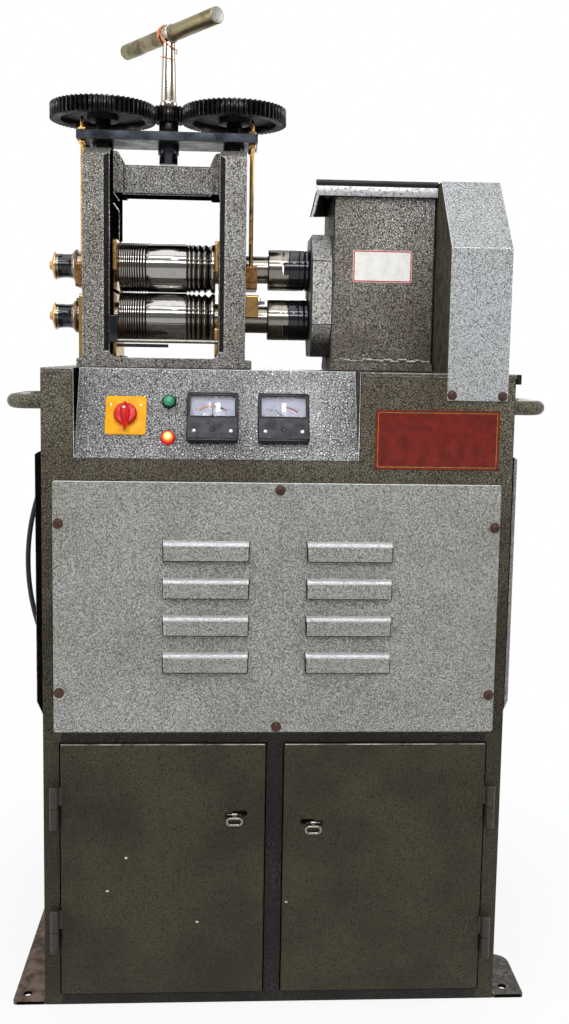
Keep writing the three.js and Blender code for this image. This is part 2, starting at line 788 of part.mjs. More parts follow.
// One grooved roll with its journals and the slotted coupling half at the right end.
function rollProfile() {
  const r = rollRadius;
  const points = [[0, -housingOuter - 48], [endJournalRadius - 1.5, -housingOuter - 48],
    [endJournalRadius, -housingOuter - 46], [endJournalRadius, -housingOuter - cradleThickness],
    [outerJournalRadius, -housingOuter - cradleThickness], [outerJournalRadius, -housingOuter],
    [journalRadius, -housingOuter], [journalRadius, -rollHalf], [r - 1, -rollHalf], [r, -rollHalf + 1]];
  const fineStart = -rollHalf + 4;
  for (let i = 0; i < 8; i += 1) {
    points.push([r, fineStart + i * 5], [r - 2, fineStart + i * 5 + 2.3]);
  }
  points.push([r, fineStart + 8 * 5 - 0.6]);
  let x = rollHalf - 44.5;
  for (const width of [4.2, 5.2, 6.6, 8, 9.6]) {
    points.push([r, x], [r - width / 2, x + width / 2], [r, x + width]);
    x += width + 1.3;
  }
  points.push([r, rollHalf - 1], [r - 1, rollHalf], [journalRadius, rollHalf],
    [journalRadius, housingOuter], [outerJournalRadius, housingOuter],
    [outerJournalRadius, outerJournalEnd], [couplingRadius - 1.5, outerJournalEnd],
    [couplingRadius, outerJournalEnd + 1.5], [couplingRadius, outerJournalEnd + rollHubLength],
    [0, outerJournalEnd + rollHubLength]);
  return points;
}

function slotBar(x0, x1, width, z, angle) {
  const long = couplingRadius + 3;
  const bar = box(x0, x1, -long, long, -width / 2, width / 2);
  return bar.rotateX(angle * degree).translate(0, millY, z);
}

function roll(axis, angle) {
  const body = turnedX(rollProfile(), millY, axis, 14).translate(millX, 0, 0);
  const end = millX + outerJournalEnd + rollHubLength;
  return cut(body, slotBar(end - tongueReach - 2, end + 1, tongueWidth + 2 * seam, axis, angle));
}

function couplingDisc(axis, angle) {
  const start = millX + discStart;
  const end = start + discLength;
  const body = rodX(start, end, couplingRadius, millY, axis, 16);
  const round = rodX(start - 20, end + 20, couplingRadius - 0.3, millY, axis, 16);
  const left = common(slotBar(start - tongueReach, start + 1, tongueWidth, axis, angle), round);
  const right = common(slotBar(end - 1, end + tongueReach, tongueWidth, axis, angle + 90), round);
  return join(body, left, right);
}

function outputHub(axis, angle, slot) {
  const start = millX + outputStart;
  const end = start + outputHubLength;
  const profile = [[0, start], [couplingRadius, start], [couplingRadius, end - 1.5],
    [couplingRadius - 1.5, end], [outputRadius, end], [outputRadius, end + castingLength - 3],
    [0, end + castingLength - 3]];
  const body = turnedX(profile, millY, axis, 16);
  return cut(body, slotBar(start - 1, start + tongueReach + 1.5, slot, axis, angle + 90));
}

// Sliding bronze block in the housing window, with its half flange inside the housing.
function bearingBlock(side, axis, z0, z1, flangeLow, flangeHigh) {
  const half = windowHalf - seam;
  const flangeIn = rollHalf + endPlay;
  const flangeOut = flangeIn + flangeThickness;
  const blockEnd = housingOuter + seam;
  const xs = (a, b) => [millX + side * a, millX + side * b].sort((p, q) => p - q);
  const [b0, b1] = xs(flangeOut - 1, blockEnd);
  const [f0, f1] = xs(flangeIn, flangeOut);
  const corners = z0 < railTopZ + 10 ? [9, 9, 1, 1] : 1;
  const block = alongX(rounded(rectangle(millY - half, millY + half, z0, z1), corners, 2), b0, b1);
  const plate = rectangle(millY - flangeHalf, millY + flangeHalf, flangeLow, flangeHigh);
  const flange = alongX(rounded(plate, 4, 2), f0, f1);
  return join(block, flange);
}

function neckBore(side, axis) {
  const ends = [millX + side * (rollHalf - 5), millX + side * (housingOuter + 0.2)];
  const [n0, n1] = ends.sort((p, q) => p - q);
  const outer = [millX + side * housingOuter, millX + side * (housingOuter + 40)];
  const [o0, o1] = outer.sort((p, q) => p - q);
  return join(rodX(n0, n1, boreRadius, millY, axis, 16), rodX(o0, o1, seatRadius, millY, axis, 16));
}

function liftRod(side, y) {
  const x = millX + side * (housingOuter + 8.5);
  const tip = gearZ + 2.5;
  const profile = [[0, upperAxisZ - 8], [rodRadius, upperAxisZ - 8], [rodRadius, tip - 5], [0.6, tip],
    [0, tip]];
  const above = rodZ(plateTopZ + seam, plateTopZ + 5.5, 6, x, y, 6);
  const below = rodZ(plateZ - 5.5, plateZ - seam, 6, x, y, 6);
  return join(turnedZ(profile, x, y, 6), above, below);
}

function upperBearing(side) {
  const block = bearingBlock(side, upperAxisZ, upperAxisZ - blockHalf, upperBlockTopZ,
    upperAxisZ - 10, upperAxisZ + rollRadius - 1);
  const ends = [millX + side * housingOuter, millX + side * (housingOuter + cradleThickness)];
  const [c0, c1] = ends.sort((p, q) => p - q);
  const cradle = alongX(rounded(rectangle(millY - 40, millY + 40, upperAxisZ - 33, upperAxisZ + 3), 2, 1),
    c0, c1);
  const rods = [millY - 27, millY + 27].map((y) => liftRod(side, y));
  return cut(join(block, cradle, ...rods), neckBore(side, upperAxisZ));
}

function lowerLeftBearing() {
  const block = bearingBlock(-1, lowerAxisZ, railTopZ + seam, lowerAxisZ + blockHalf,
    railTopZ + flangeLift, lowerAxisZ - 15.5);
  const x = millX - housingOuter;
  const outline = rounded(rectangle(millY - 50, millY + 50, baseZ + 2, lowerAxisZ + 32), 4, 2);
  const plate = alongX(outline, x - 11.5, x - seam);
  return cut(join(block, plate), neckBore(-1, lowerAxisZ));
}

function lowerRightBearing() {
  const block = bearingBlock(1, lowerAxisZ, railTopZ + seam, lowerAxisZ + blockHalf,
    railTopZ + flangeLift, lowerAxisZ - 15.5);
  const x = millX + housingOuter;
  const outline = rounded(rectangle(millY - 40, millY + 40, lowerAxisZ + 0.5, lowerAxisZ + blockHalf), 2, 1);
  return cut(join(block, alongX(outline, x + seam, x + 20.5)), neckBore(1, lowerAxisZ));
}

function endNut(axis, flats) {
  const x = millX - housingOuter - cradleThickness - 0.5;
  const bore = endJournalRadius + shaftGap;
  const deep = millX - housingOuter - 49;
  const profile = [[bore, x], [28, x], [28, x - 3.6], [22, x - 3.6], [22, x - 9.6], [17.5, x - 9.6],
    [17.5, x - 28], [20, x - 28], [20, x - 31.4], [21.5, x - 31.4], [21.5, x - 36], [18, x - 40],
    [9, x - 43.4], [0, x - 43.8], [0, deep], [bore, deep]];
  profile.push([...profile[0]]);
  const body = turnedX(profile, millY, axis, 14);
  if (!flats) return body;
  const side = box(x - 27, x - 11, millY - 30, millY - 15.8, axis - 30, axis + 30);
  return cut(body, side, side.clone().translate(0, 45.8, 0));
}

function screwPlate() {
  const half = gearCentre + 36;
  const outline = rounded(rectangle(millX - half, millX + half, millY - 41, millY + 41), 4, 2);
  const holes = [circle(millX, millY, 8 + seam, 12)];
  for (const side of [-1, 1]) {
    holes.push(circle(millX + side * gearCentre, millY, shankRadius + 2 * seam, 12));
    for (const y of [millY - 27, millY + 27]) {
      holes.push(circle(millX + side * (housingOuter + 8.5), y, rodRadius + 2 * seam, 8));
    }
  }
  return alongZ(outline, plateZ, plateTopZ, holes);
}

function screw(side) {
  const tip = upperBlockTopZ + seam;
  const collarLow = headTopZ + 2;
  const collarTop = plateZ - seam;
  const hubLow = plateTopZ + seam;
  const collar = screwRadius + collarReach;
  const hub = shankRadius + 1;
  const spigot = gearBore - seam;
  const profile = [[0, tip], [10, tip], [12, tip + 4], [screwRadius, tip + 6], [screwRadius, collarLow],
    [collar, collarLow], [collar, collarTop], [shankRadius - seam, collarTop],
    [shankRadius - seam, hubLow], [hub, hubLow], [hub, gearZ - seam], [spigot, gearZ - seam],
    [spigot, gearTopZ + 9], [spigot - 1, gearTopZ + 10], [0, gearTopZ + 10]];
  const x = millX + side * gearCentre;
  const nut = turnedZ([[0, gearTopZ + seam], [15, gearTopZ + seam], [16, gearTopZ + 1.3],
    [16, gearTopZ + 7], [15, gearTopZ + 8], [0, gearTopZ + 8]], x, millY, 6);
  return join(turnedZ(profile, x, millY, 12), nut);
}

// Involute teeth of 20 degrees. The middle of the first tooth lies at the start angle.
function toothedOutline(teeth, steps, startAngle) {
  const pitch = (gearModule * teeth) / 2;
  const tip = pitch + gearModule;
  const root = pitch - 1.25 * gearModule;
  const base = pitch * Math.cos(20 * degree);
  const involute = (radius) => {
    const angle = Math.acos(Math.min(1, base / Math.max(radius, base)));
    return Math.tan(angle) - angle;
  };
  const thin = gearBacklash / 4 / pitch;
  const half = (radius) => Math.PI / (2 * teeth) + involute(pitch) - involute(radius) - thin;
  const radii = Array.from({ length: steps }, (_, i) => root + ((tip - root) * i) / (steps - 1));
  const points = [];
  for (let tooth = 0; tooth < teeth; tooth += 1) {
    const middle = startAngle * degree + (tooth * 2 * Math.PI) / teeth;
    const flank = radii.map((radius) => [radius, half(radius)]);
    const climb = flank.map(([radius, angle]) => [radius, middle - angle]);
    const fall = flank.map(([radius, angle]) => [radius, middle + angle]).reverse();
    for (const [radius, angle] of [...climb, ...fall]) {
      points.push([radius * Math.cos(angle), radius * Math.sin(angle)]);
    }
  }
  return points;
}

function screwGear(side) {
  const x = millX + side * gearCentre;
  const outline = toothedOutline(gearTeeth, 2, 180 / gearTeeth);
  const blank = alongZ(outline, gearZ, gearTopZ, [circle(0, 0, gearBore, 16)]).translate(x, millY, 0);
  const root = (gearModule * gearTeeth) / 2 - 1.25 * gearModule;
  const ring = (low, high, inner, outer) => turnedZ([[inner, low], [outer, low], [outer, high],
    [inner, high], [inner, low]], x, millY, 16);
  return cut(blank, ring(gearZ - 1, gearZ + 8, 24, root - gearRim));
}

function pinion() {
  const teeth = alongZ(toothedOutline(pinionTeeth, 3, 0), gearZ, gearTopZ);
  const neck = rodZ(plateTopZ + seam, gearZ + 1, 15, 0, 0, 16);
  const body = join(teeth, neck).translate(millX, millY, 0);
  return cut(body, rodZ(plateZ, gearTopZ + 5, 8 + seam, millX, millY, 14));
}

function handleStem() {
  const low = headTopZ - 12;
  const profile = [[0, low], [14.5, low], [14.5, headTopZ + 2], [16.5, headTopZ + 2],
    [16.5, plateZ - seam], [8, plateZ - seam], [8, gearTopZ + seam], [14, gearTopZ + seam],
    [14, gearTopZ + 7], [12.6, gearTopZ + 9], [11.2, gearTopZ + 50], [9.5, barZ - 13], [9.5, barZ - 5],
    [0, barZ - 5]];
  const long = 13;
  const round = barRadius + 4;
  const cross = turnedX([[0, -long], [round - 1, -long], [round, 1 - long], [round, long - 1],
    [round - 1, long], [0, long]], 0, 0, 16);
  const boss = cross.rotateZ(barTurn * degree).translate(millX, millY, barZ);
  const bore = rodX(-20, 20, barRadius + seam, 0, 0, 16);
  bore.rotateZ(barTurn * degree).translate(millX, millY, barZ);
  return cut(join(turnedZ(profile, millX, millY, 12), boss), bore);
}

function handleBar() {
  const half = barLength / 2;
  const profile = [[0, -half], [barRadius - 2, -half], [barRadius, 2 - half], [barRadius, half - 2],
    [barRadius - 2, half], [0, half]];
  return turnedX(profile, 0, 0, 16).rotateZ(barTurn * degree).translate(millX, millY, barZ);
}

function guardRod() {
  const y = millY - postFront + 8;
  const z = topZ + 40;
  const x = millX - housingInner + seam;
  const rod = rodX(x, millX + housingInner - seam, 3, y, z, 10);
  return join(rod, box(x, x + 11, y - 5, y + 5, z - 3, z + 37));
}

function rollWiper() {
  const x = millX - rollHalf - endPlay + seam;
  const outline = [[x, millY - 42], [x + 62, millY - 42], [x + 79, millY - 35], [x + 79, millY - 31],
    [x + 62, millY - 27], [x, millY - 27]];
  return alongZ(outline, topZ + 31, topZ + 36);
}

// Drive side

function shaftFlange() {
  const profile = [[millY - gearboxHalf, lowerAxisZ - 8.5], [millY - gearboxHalf, upperAxisZ + 9],
    [millY - 42, upperAxisZ + 51], [millY + 42, upperAxisZ + 51], [millY + gearboxHalf, upperAxisZ + 9],
    [millY + gearboxHalf, lowerAxisZ - 8.5], [millY + 42, lowerAxisZ - 57], [millY - 42, lowerAxisZ - 57]];
  const holes = [lowerAxisZ, upperAxisZ].map((z) => circle(millY, z, outputRadius + 2 * seam, 20));
  return alongX(rounded(profile, 3, 1), castingX, castingX + castingLength, holes);
}

function gearboxHousing() {
  const outline = rounded(rectangle(gearboxX, gearboxEnd, millY - gearboxHalf, millY + gearboxHalf), 3, 2);
  const body = alongZ(outline, baseZ, gearboxTopZ);
  const base = box(gearboxX, gearboxEnd, millY - gearboxHalf - 7, millY + gearboxHalf + 7, baseZ, baseZ + 12);
  return cut(join(body, base), rodX(gearboxEnd - 10, gearboxEnd + 5, 15 + 2 * seam, millY, inputAxisZ, 16));
}

function gearboxLid() {
  const half = gearboxHalf + lidOverhang + 4;
  const x0 = gearboxX - lidLeft;
  const low = gearboxTopZ - 1.3;
  const high = gearboxTopZ + lidThickness;
  const outline = rounded(rectangle(x0, gearboxEnd + seam, millY - half, millY + half), [5, 2, 2, 5], 2);
  const body = alongZ(outline, low, high);
  const hollow = box(x0 + 4, gearboxX - 2, millY - half + 4, millY + half - 4, low - 1, high - 10);
  const seat = box(gearboxX - 2.5, gearboxEnd + 2, millY - gearboxHalf - seam, millY + gearboxHalf + seam,
    low - 1, gearboxTopZ + seam);
  const tip = low - flapDrop;
  const flap = alongY([[x0, low + 3], [x0 - flapLean, tip], [x0 - flapLean + flapSheet, tip],
    [x0 + flapSheet, low + 1], [x0 + flapSheet, low + 3]], millY - half + 3, millY + half - 3);
  return join(cut(body, hollow, seat), flap);
}

function beltGuard() {
  const out = frontY - 3;
  const back = backY - guardBackInset;
  const fold = guardTopZ - guardFold;
  const low = topZ - guardLap;
  const outer = [[out, low], [out, fold], [out + guardSlant, guardTopZ], [back - guardSlant, guardTopZ],
    [back, fold], [back, baseZ], [frontY - seam, baseZ], [frontY - seam, low]];
  const w = guardWall;
  const shift = w * 0.45;
  const inner = [[out + w, topZ - 1], [out + w, fold - shift], [out + guardSlant + shift, guardTopZ - w],
    [back - guardSlant - shift, guardTopZ - w], [back - w, fold - shift], [back - w, topZ - 1]];
  const shell = cut(alongX(outer, guardX, guardEnd), alongX(inner, guardX + w, guardEnd - w));
  return cut(shell, rodX(guardX - 3, guardX + w + 3, 22, millY, inputAxisZ, 16));
}

function grooveHalf(radius, pitchRadius) {
  return beltTop / 2 + 0.5 - (pitchRadius + beltCrown - radius) * grooveTangent;
}

function inputPulley() {
  const rim = inputPitchRadius + 2;
  const bottom = inputPitchRadius + beltCrown - beltHeight - 1.5;
  const [a, b, m] = [pulleyX, pulleyX + pulleyWidth, pulleyMid];
  const wide = grooveHalf(rim, inputPitchRadius);
  const narrow = grooveHalf(bottom, inputPitchRadius);
  const profile = [[0, gearboxEnd - 9], [15, gearboxEnd - 9], [15, a - 4], [25, a - 4], [25, m - 5],
    [78, m - 5], [80, a], [rim, a], [rim, m - wide], [bottom, m - narrow], [bottom, m + narrow],
    [rim, m + wide], [rim, b], [80, b], [78, m + 5], [25, m + 5], [25, b + 3], [15, b + 3], [15, b + 8],
    [0, b + 8]];
  return turnedX(profile, millY, inputAxisZ, 12);
}

function motorPulley() {
  const rim = motorPitchRadius + 1.5;
  const bottom = motorPitchRadius + beltCrown - beltHeight - 1.5;
  const [a, b, m] = [pulleyX, pulleyX + pulleyWidth, pulleyMid];
  const wide = grooveHalf(rim, motorPitchRadius);
  const narrow = grooveHalf(bottom, motorPitchRadius);
  const start = gearboxEnd - 24;
  const profile = [[0, start], [12, start], [12, a - 12], [20, a - 12], [20, a], [rim, a],
    [rim, m - wide], [bottom, m - narrow], [bottom, m + narrow], [rim, m + wide], [rim, b], [12, b],
    [12, b + 4], [0, b + 4]];
  return turnedX(profile, millY, motorAxisZ, 12);
}

// A closed band of one cross section carried along a flat loop of [y, z, outward y, outward z].
function band(loop, section) {
  const places = [];
  const triangles = [];
  const sides = section.length;
  for (const [y, z, ny, nz] of loop) {
    for (const [x, out] of section) places.push(pulleyMid + x, y + ny * out, z + nz * out);
  }
  loop.forEach((_, i) => {
    const next = (i + 1) % loop.length;
    for (let k = 0; k < sides; k += 1) {
      const turn = (k + 1) % sides;
      const [a, b] = [i * sides + k, i * sides + turn];
      const [c, d] = [next * sides + k, next * sides + turn];
      triangles.push(a, b, d, a, d, c);
    }
  });
  const geometry = new THREE.BufferGeometry();
  geometry.setAttribute('position', new THREE.BufferAttribute(new Float32Array(places), 3));
  geometry.setIndex(triangles);
  return toGeometry(toSolid(geometry));
}

function driveBelt() {
  const distance = inputAxisZ - motorAxisZ;
  const lean = Math.asin((inputPitchRadius - motorPitchRadius) / distance);
  const loop = [];
  const arc = (z, radius, from, to, steps) => {
    for (let i = 0; i <= steps; i += 1) {
      const angle = from + ((to - from) * i) / steps;
      const [c, s] = [Math.cos(angle), Math.sin(angle)];
      loop.push([millY + radius * c, z + radius * s, c, s]);
    }
  };
  arc(inputAxisZ, inputPitchRadius, -lean, Math.PI + lean, 18);
  arc(motorAxisZ, motorPitchRadius, Math.PI + lean, 2 * Math.PI - lean, 9);
  const top = beltTop / 2;
  const low = top - beltHeight * grooveTangent;
  return band(loop, [[-top, beltCrown], [top, beltCrown], [low, beltCrown - beltHeight],
    [-low, beltCrown - beltHeight]]);
}

function motor() {
  const end = gearboxEnd - 14;
  const start = end - motorLength;
  const r = motorRadius;
  const profile = [[0, start], [r - 10, start], [r - 3, start + 6], [r - 3, start + 48], [r, start + 50],
    [r, end - 26], [r - 6, end - 24], [r - 12, end - 6], [22, end - 6], [22, end], [13, end],
    [13, end - 16], [0, end - 16]];
  const body = turnedX(profile, millY, motorAxisZ, 12);
  const low = shelfZ + 3 + seam;
  const foot = [[millY - 70, low], [millY + 70, low], [millY + 70, low + 7], [millY + 42, low + 10],
    [millY + 34, motorAxisZ - 60], [millY - 34, motorAxisZ - 60], [millY - 42, low + 10],
    [millY - 70, low + 7]];
  const feet = [start + 60, end - 62].map((x) => alongX(foot, x, x + 28));
  const terminals = box(start + terminalStart, start + terminalStart + terminalLength, millY + r / 2,
    millY + r + 22, motorAxisZ - 30, motorAxisZ + 34);
  return join(body, ...feet, terminals);
}

// Colours of the finished surfaces
const finishes = {
  hammerDark: [0x45423a, 0.45, 0.35],
  hammerGrey: [0x77736a, 0.4, 0.4],
  hammerSilver: [0xa3a19a, 0.38, 0.5],
  blackPaint: [0x1d1d1f, 0.5, 0.2],
  rustySteel: [0x6a4128, 0.75, 0.3],
  darkSteel: [0x26282c, 0.45, 0.85],
  brightSteel: [0xc9ccd0, 0.2, 1],
  greySteel: [0x8b8c88, 0.35, 0.9],
  plateBlue: [0x3c4654, 0.5, 0.5],
  bronze: [0x8a6a3c, 0.4, 0.9],
  brass: [0xb08d45, 0.3, 0.95],
  khakiSteel: [0x8d8468, 0.4, 0.8],
  blackPlastic: [0x17181a, 0.4, 0],
  yellowPlastic: [0xf7c52b, 0.4, 0],
  redPlastic: [0xc92a20, 0.35, 0],
  greenLens: [0x2f9a4a, 0.2, 0],
  redLens: [0xb5261d, 0.2, 0],
  rubber: [0x141414, 0.85, 0],
};

const group = new THREE.Group();

function add(name, finish, geometry) {
  const clean = toGeometry(toSolid(geometry));
  clean.computeVertexNormals();
  const [color, roughness, metalness] = finishes[finish];
  const mesh = new THREE.Mesh(clean, new THREE.MeshStandardMaterial({ color, roughness, metalness }));
  mesh.name = name;
  group.add(mesh);
}

add('floor_plate', 'hammerDark', floorPlate());
add('left_foot', 'rustySteel', leftFoot());
add('right_front_foot', 'rustySteel', rightFoot(frontY, frontY + footLength, [4, 4, 22, 0]));
add('right_rear_foot', 'rustySteel', rightFoot(backY - footLength, backY, [0, 22, 4, 4]));
add('left_side', 'hammerDark', leftSide());
add('right_side', 'hammerDark', mirrored(leftSide()));
add('back_panel', 'hammerDark', backPanel());
add('top_plate', 'hammerGrey', topPlate());
add('front_frame', 'hammerDark', frontFrame());
add('motor_shelf', 'hammerDark', motorShelf());
add('control_panel', 'hammerSilver', controlPanel());
add('vent_cover', 'hammerSilver', ventCover());
add('left_side_cover', 'hammerSilver', leftSideCover());
add('right_side_cover', 'hammerSilver', mirrored(sideCoverShell()));
add('side_lead', 'rubber', sideLead());
add('left_door', 'hammerDark', door(-1));
add('right_door', 'hammerDark', door(1));
add('left_pull', 'brightSteel', pull(-1));
add('right_pull', 'brightSteel', pull(1));
add('left_lift_handle', 'hammerDark', liftLoop(-1));
add('right_lift_handle', 'hammerDark', liftLoop(1));
add('switch_plate', 'yellowPlastic', switchPlate());
add('switch_knob', 'redPlastic', switchKnob());
add('green_lamp', 'greenLens', lamp(lampPlaces[0]));
add('red_lamp', 'redLens', lamp(lampPlaces[1]));
add('volt_meter', 'blackPlastic', meter(meterPlaces[0]));
add('amp_meter', 'blackPlastic', meter(meterPlaces[1]));
add('volt_needle', 'blackPaint', needle(meterPlaces[0], 0));
add('amp_needle', 'blackPaint', needle(meterPlaces[1], 45));
add('mill_frame', 'hammerGrey', millFrame());
add('lower_roll', 'brightSteel', roll(lowerAxisZ, 34));
add('upper_roll', 'brightSteel', roll(upperAxisZ, 0));
add('upper_left_bearing', 'bronze', upperBearing(-1));
add('upper_right_bearing', 'bronze', upperBearing(1));
add('lower_left_bearing', 'brass', lowerLeftBearing());
add('lower_right_bearing', 'brass', lowerRightBearing());
add('upper_end_nut', 'brass', endNut(upperAxisZ, false));
add('lower_end_nut', 'brass', endNut(lowerAxisZ, true));
add('upper_disc', 'darkSteel', couplingDisc(upperAxisZ, 0));
add('lower_disc', 'darkSteel', couplingDisc(lowerAxisZ, 34));
add('upper_output_hub', 'darkSteel', outputHub(upperAxisZ, 0, tongueWidth + 2 * (liftRange + 0.6)));
add('lower_output_hub', 'darkSteel', outputHub(lowerAxisZ, 34, tongueWidth + 2 * seam));
add('screw_plate', 'plateBlue', screwPlate());
add('left_screw', 'darkSteel', screw(-1));
add('right_screw', 'darkSteel', screw(1));
add('left_gear', 'darkSteel', screwGear(-1));
add('right_gear', 'darkSteel', screwGear(1));
add('pinion', 'darkSteel', pinion());
add('handle_stem', 'greySteel', handleStem());
add('handle_bar', 'khakiSteel', handleBar());
add('guard_rod', 'greySteel', guardRod());
add('roll_wiper', 'rustySteel', rollWiper());
add('shaft_flange', 'hammerGrey', shaftFlange());
add('gearbox_housing', 'hammerGrey', gearboxHousing());
add('gearbox_lid', 'blackPaint', gearboxLid());
add('belt_guard', 'hammerSilver', beltGuard());
add('input_pulley', 'greySteel', inputPulley());
add('drive_belt', 'rubber', driveBelt());
add('motor', 'hammerGrey', motor());
add('motor_pulley', 'greySteel', motorPulley());

export default group;
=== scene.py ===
import math
import random

import bmesh
import bpy
from mathutils import Matrix, Vector


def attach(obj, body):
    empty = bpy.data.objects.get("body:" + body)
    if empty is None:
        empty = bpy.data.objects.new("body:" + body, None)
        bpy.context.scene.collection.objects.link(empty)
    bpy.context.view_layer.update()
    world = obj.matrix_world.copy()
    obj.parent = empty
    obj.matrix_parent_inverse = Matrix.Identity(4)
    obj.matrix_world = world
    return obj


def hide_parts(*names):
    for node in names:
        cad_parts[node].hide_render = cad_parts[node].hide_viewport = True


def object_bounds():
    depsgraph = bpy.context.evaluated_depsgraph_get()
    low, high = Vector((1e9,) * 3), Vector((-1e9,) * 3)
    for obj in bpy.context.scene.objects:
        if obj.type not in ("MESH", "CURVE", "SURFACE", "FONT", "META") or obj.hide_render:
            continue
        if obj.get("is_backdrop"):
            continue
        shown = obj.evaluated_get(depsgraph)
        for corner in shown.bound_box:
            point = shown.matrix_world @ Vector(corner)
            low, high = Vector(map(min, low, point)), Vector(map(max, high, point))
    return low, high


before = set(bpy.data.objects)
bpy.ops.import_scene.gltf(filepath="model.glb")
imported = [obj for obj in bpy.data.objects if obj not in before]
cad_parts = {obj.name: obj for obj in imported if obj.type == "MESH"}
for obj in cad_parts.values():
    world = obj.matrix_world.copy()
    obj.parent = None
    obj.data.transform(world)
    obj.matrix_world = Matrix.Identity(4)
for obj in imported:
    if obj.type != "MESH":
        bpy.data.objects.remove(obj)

scene = bpy.context.scene
cadLow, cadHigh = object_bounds()
random.seed(11)

# Main places of the machine in mm. X runs to the right, Y to the back and Z up.
mill = {"x": -169.0, "y": -33.0, "lowerAxis": 1012.5, "upperAxis": 1089.1, "plate": 1274.0, "plateTop": 1287.4,
        "gear": 1307.6, "gearTop": 1330.0, "gearAt": 100.0}
cabinet = {"front": -225.0, "doorsTop": 412.0, "panelLeft": -289.0, "panelRight": 113.0,
           "panelBottom": 809.0, "slope": 126 / 53}
toMetres = (0.001, 0.001, 0.001)
toMillimetres = (1000, 1000, 1000)


# Small helpers for nodes and shapes. Shapes are drawn in mm and scaled to metres when a piece is placed.
def linear(hexCode):
    parts = [int(hexCode[i:i + 2], 16) / 255 for i in (0, 2, 4)]
    return tuple(c / 12.92 if c <= 0.04045 else ((c + 0.055) / 1.055) ** 2.4 for c in parts) + (1.0,)


def newMaterial(name):
    material = bpy.data.materials.new(name)
    material.use_nodes = True
    material.node_tree.nodes.clear()
    return material


def addNode(material, kind, inputs=None, stops=None, **settings):
    node = material.node_tree.nodes.new(kind)
    for setting, value in settings.items():
        setattr(node, setting, value)
    for i, (place, tone) in enumerate(stops or []):
        ramp = node.color_ramp
        if i == 0:
            ramp.elements.remove(ramp.elements[1])
        element = ramp.elements[0] if i == 0 else ramp.elements.new(place)
        element.position = place
        element.color = linear(tone) if isinstance(tone, str) else (tone, tone, tone, 1)
    for socket, value in (inputs or {}).items():
        if isinstance(value, bpy.types.NodeSocket):
            material.node_tree.links.new(value, node.inputs[socket])
        else:
            node.inputs[socket].default_value = value
    return node


alongX = Matrix(((0, 0, 1, 0), (1, 0, 0, 0), (0, 1, 0, 0), (0, 0, 0, 1)))   # drawn as y, z, pushed to +X
alongFront = Matrix(((1, 0, 0, 0), (0, 0, -1, 0), (0, 1, 0, 0), (0, 0, 0, 1)))  # drawn as x, z, pushed to -Y


def onPanel(x, z):
    up = Vector((0, 53, 126)).normalized()
    out = Vector((1, 0, 0)).cross(up)
    y = cabinet["front"] + (z - cabinet["panelBottom"]) / cabinet["slope"]
    basis = Matrix(((1, up.x, out.x), (0, up.y, out.y), (0, up.z, out.z))).to_4x4()
    return Matrix.Translation((x, y, z)) @ basis


def axisAt(z, y=mill["y"]):
    return Matrix.Translation((0, y, z)) @ alongX


def eased(profile, reach, steps=2):
    # a profile of (radius, height) or (radius, height, material) with its corners rounded
    points = [tuple(profile[0])]
    for before, here, after in zip(profile, profile[1:], profile[2:]):
        corner = Vector(here[:2])
        a, b = Vector(before[:2]) - corner, Vector(after[:2]) - corner
        if min(a.length, b.length) < 1e-6 or a.angle(b) > 3.0:
            points.append(tuple(here))
            continue
        start = corner + a.normalized() * min(reach, a.length * 0.45)
        end = corner + b.normalized() * min(reach, b.length * 0.45)
        for k in range(steps + 1):
            t = k / steps
            spot = start * (1 - t) ** 2 + corner * 2 * t * (1 - t) + end * t * t
            points.append((spot.x, spot.y) + tuple(here[2:]))
    return points + [tuple(profile[-1])]


def turned(bm, profile, matrix, segments, material=0):
    # a profile turned round the matrix's Z
    rings = []
    for spot in profile:
        count = 1 if spot[0] < 1e-6 else segments
        rings.append([bm.verts.new(matrix @ Vector((spot[0] * math.cos(2 * math.pi * i / count),
                                                    spot[0] * math.sin(2 * math.pi * i / count), spot[1])))
                      for i in range(count)])
    for before, after, spot in zip(rings, rings[1:], profile[1:]):
        for i in range(segments):
            j = (i + 1) % segments
            corners = dict.fromkeys((before[i % len(before)], before[j % len(before)],
                                     after[j % len(after)], after[i % len(after)]))
            if len(corners) > 2:
                face = bm.faces.new(list(corners))
                face.material_index = spot[2] if len(spot) > 2 else material


def takeCurve(bm, curve, matrix, material):
    carrier = bpy.data.objects.new("carrier", curve)
    scene.collection.objects.link(carrier)
    bpy.context.view_layer.update()
    mesh = bpy.data.meshes.new_from_object(carrier.evaluated_get(bpy.context.evaluated_depsgraph_get()))
    bpy.data.objects.remove(carrier)
    part = bmesh.new()
    part.from_mesh(mesh)
    bmesh.ops.remove_doubles(part, verts=part.verts, dist=0.002)
    bmesh.ops.transform(part, matrix=matrix, verts=part.verts)
    for face in part.faces:
        face.material_index = material
    part.to_mesh(mesh)
    part.free()
    bm.from_mesh(mesh)
    bpy.data.meshes.remove(mesh)
    bpy.data.curves.remove(curve)


def pushed(bm, outlines, low, high, matrix, material=0, bevel=0.0, steps=2):
    # an outline, with any holes after it, pushed from low to high along the matrix's Z
    curve = bpy.data.curves.new("outline", "CURVE")
    curve.dimensions, curve.fill_mode = "2D", "BOTH"
    curve.extrude = (high - low) / 2 - bevel
    curve.bevel_depth, curve.bevel_resolution, curve.offset = bevel, steps - 1, -bevel
    for outline in outlines:
        spline = curve.splines.new("POLY")
        spline.points.add(len(outline) - 1)
        for point, (u, v) in zip(spline.points, outline):
            point.co = (u, v, 0, 1)
        spline.use_cyclic_u = True
    takeCurve(bm, curve, matrix @ Matrix.Translation((0, 0, (low + high) / 2)), material)


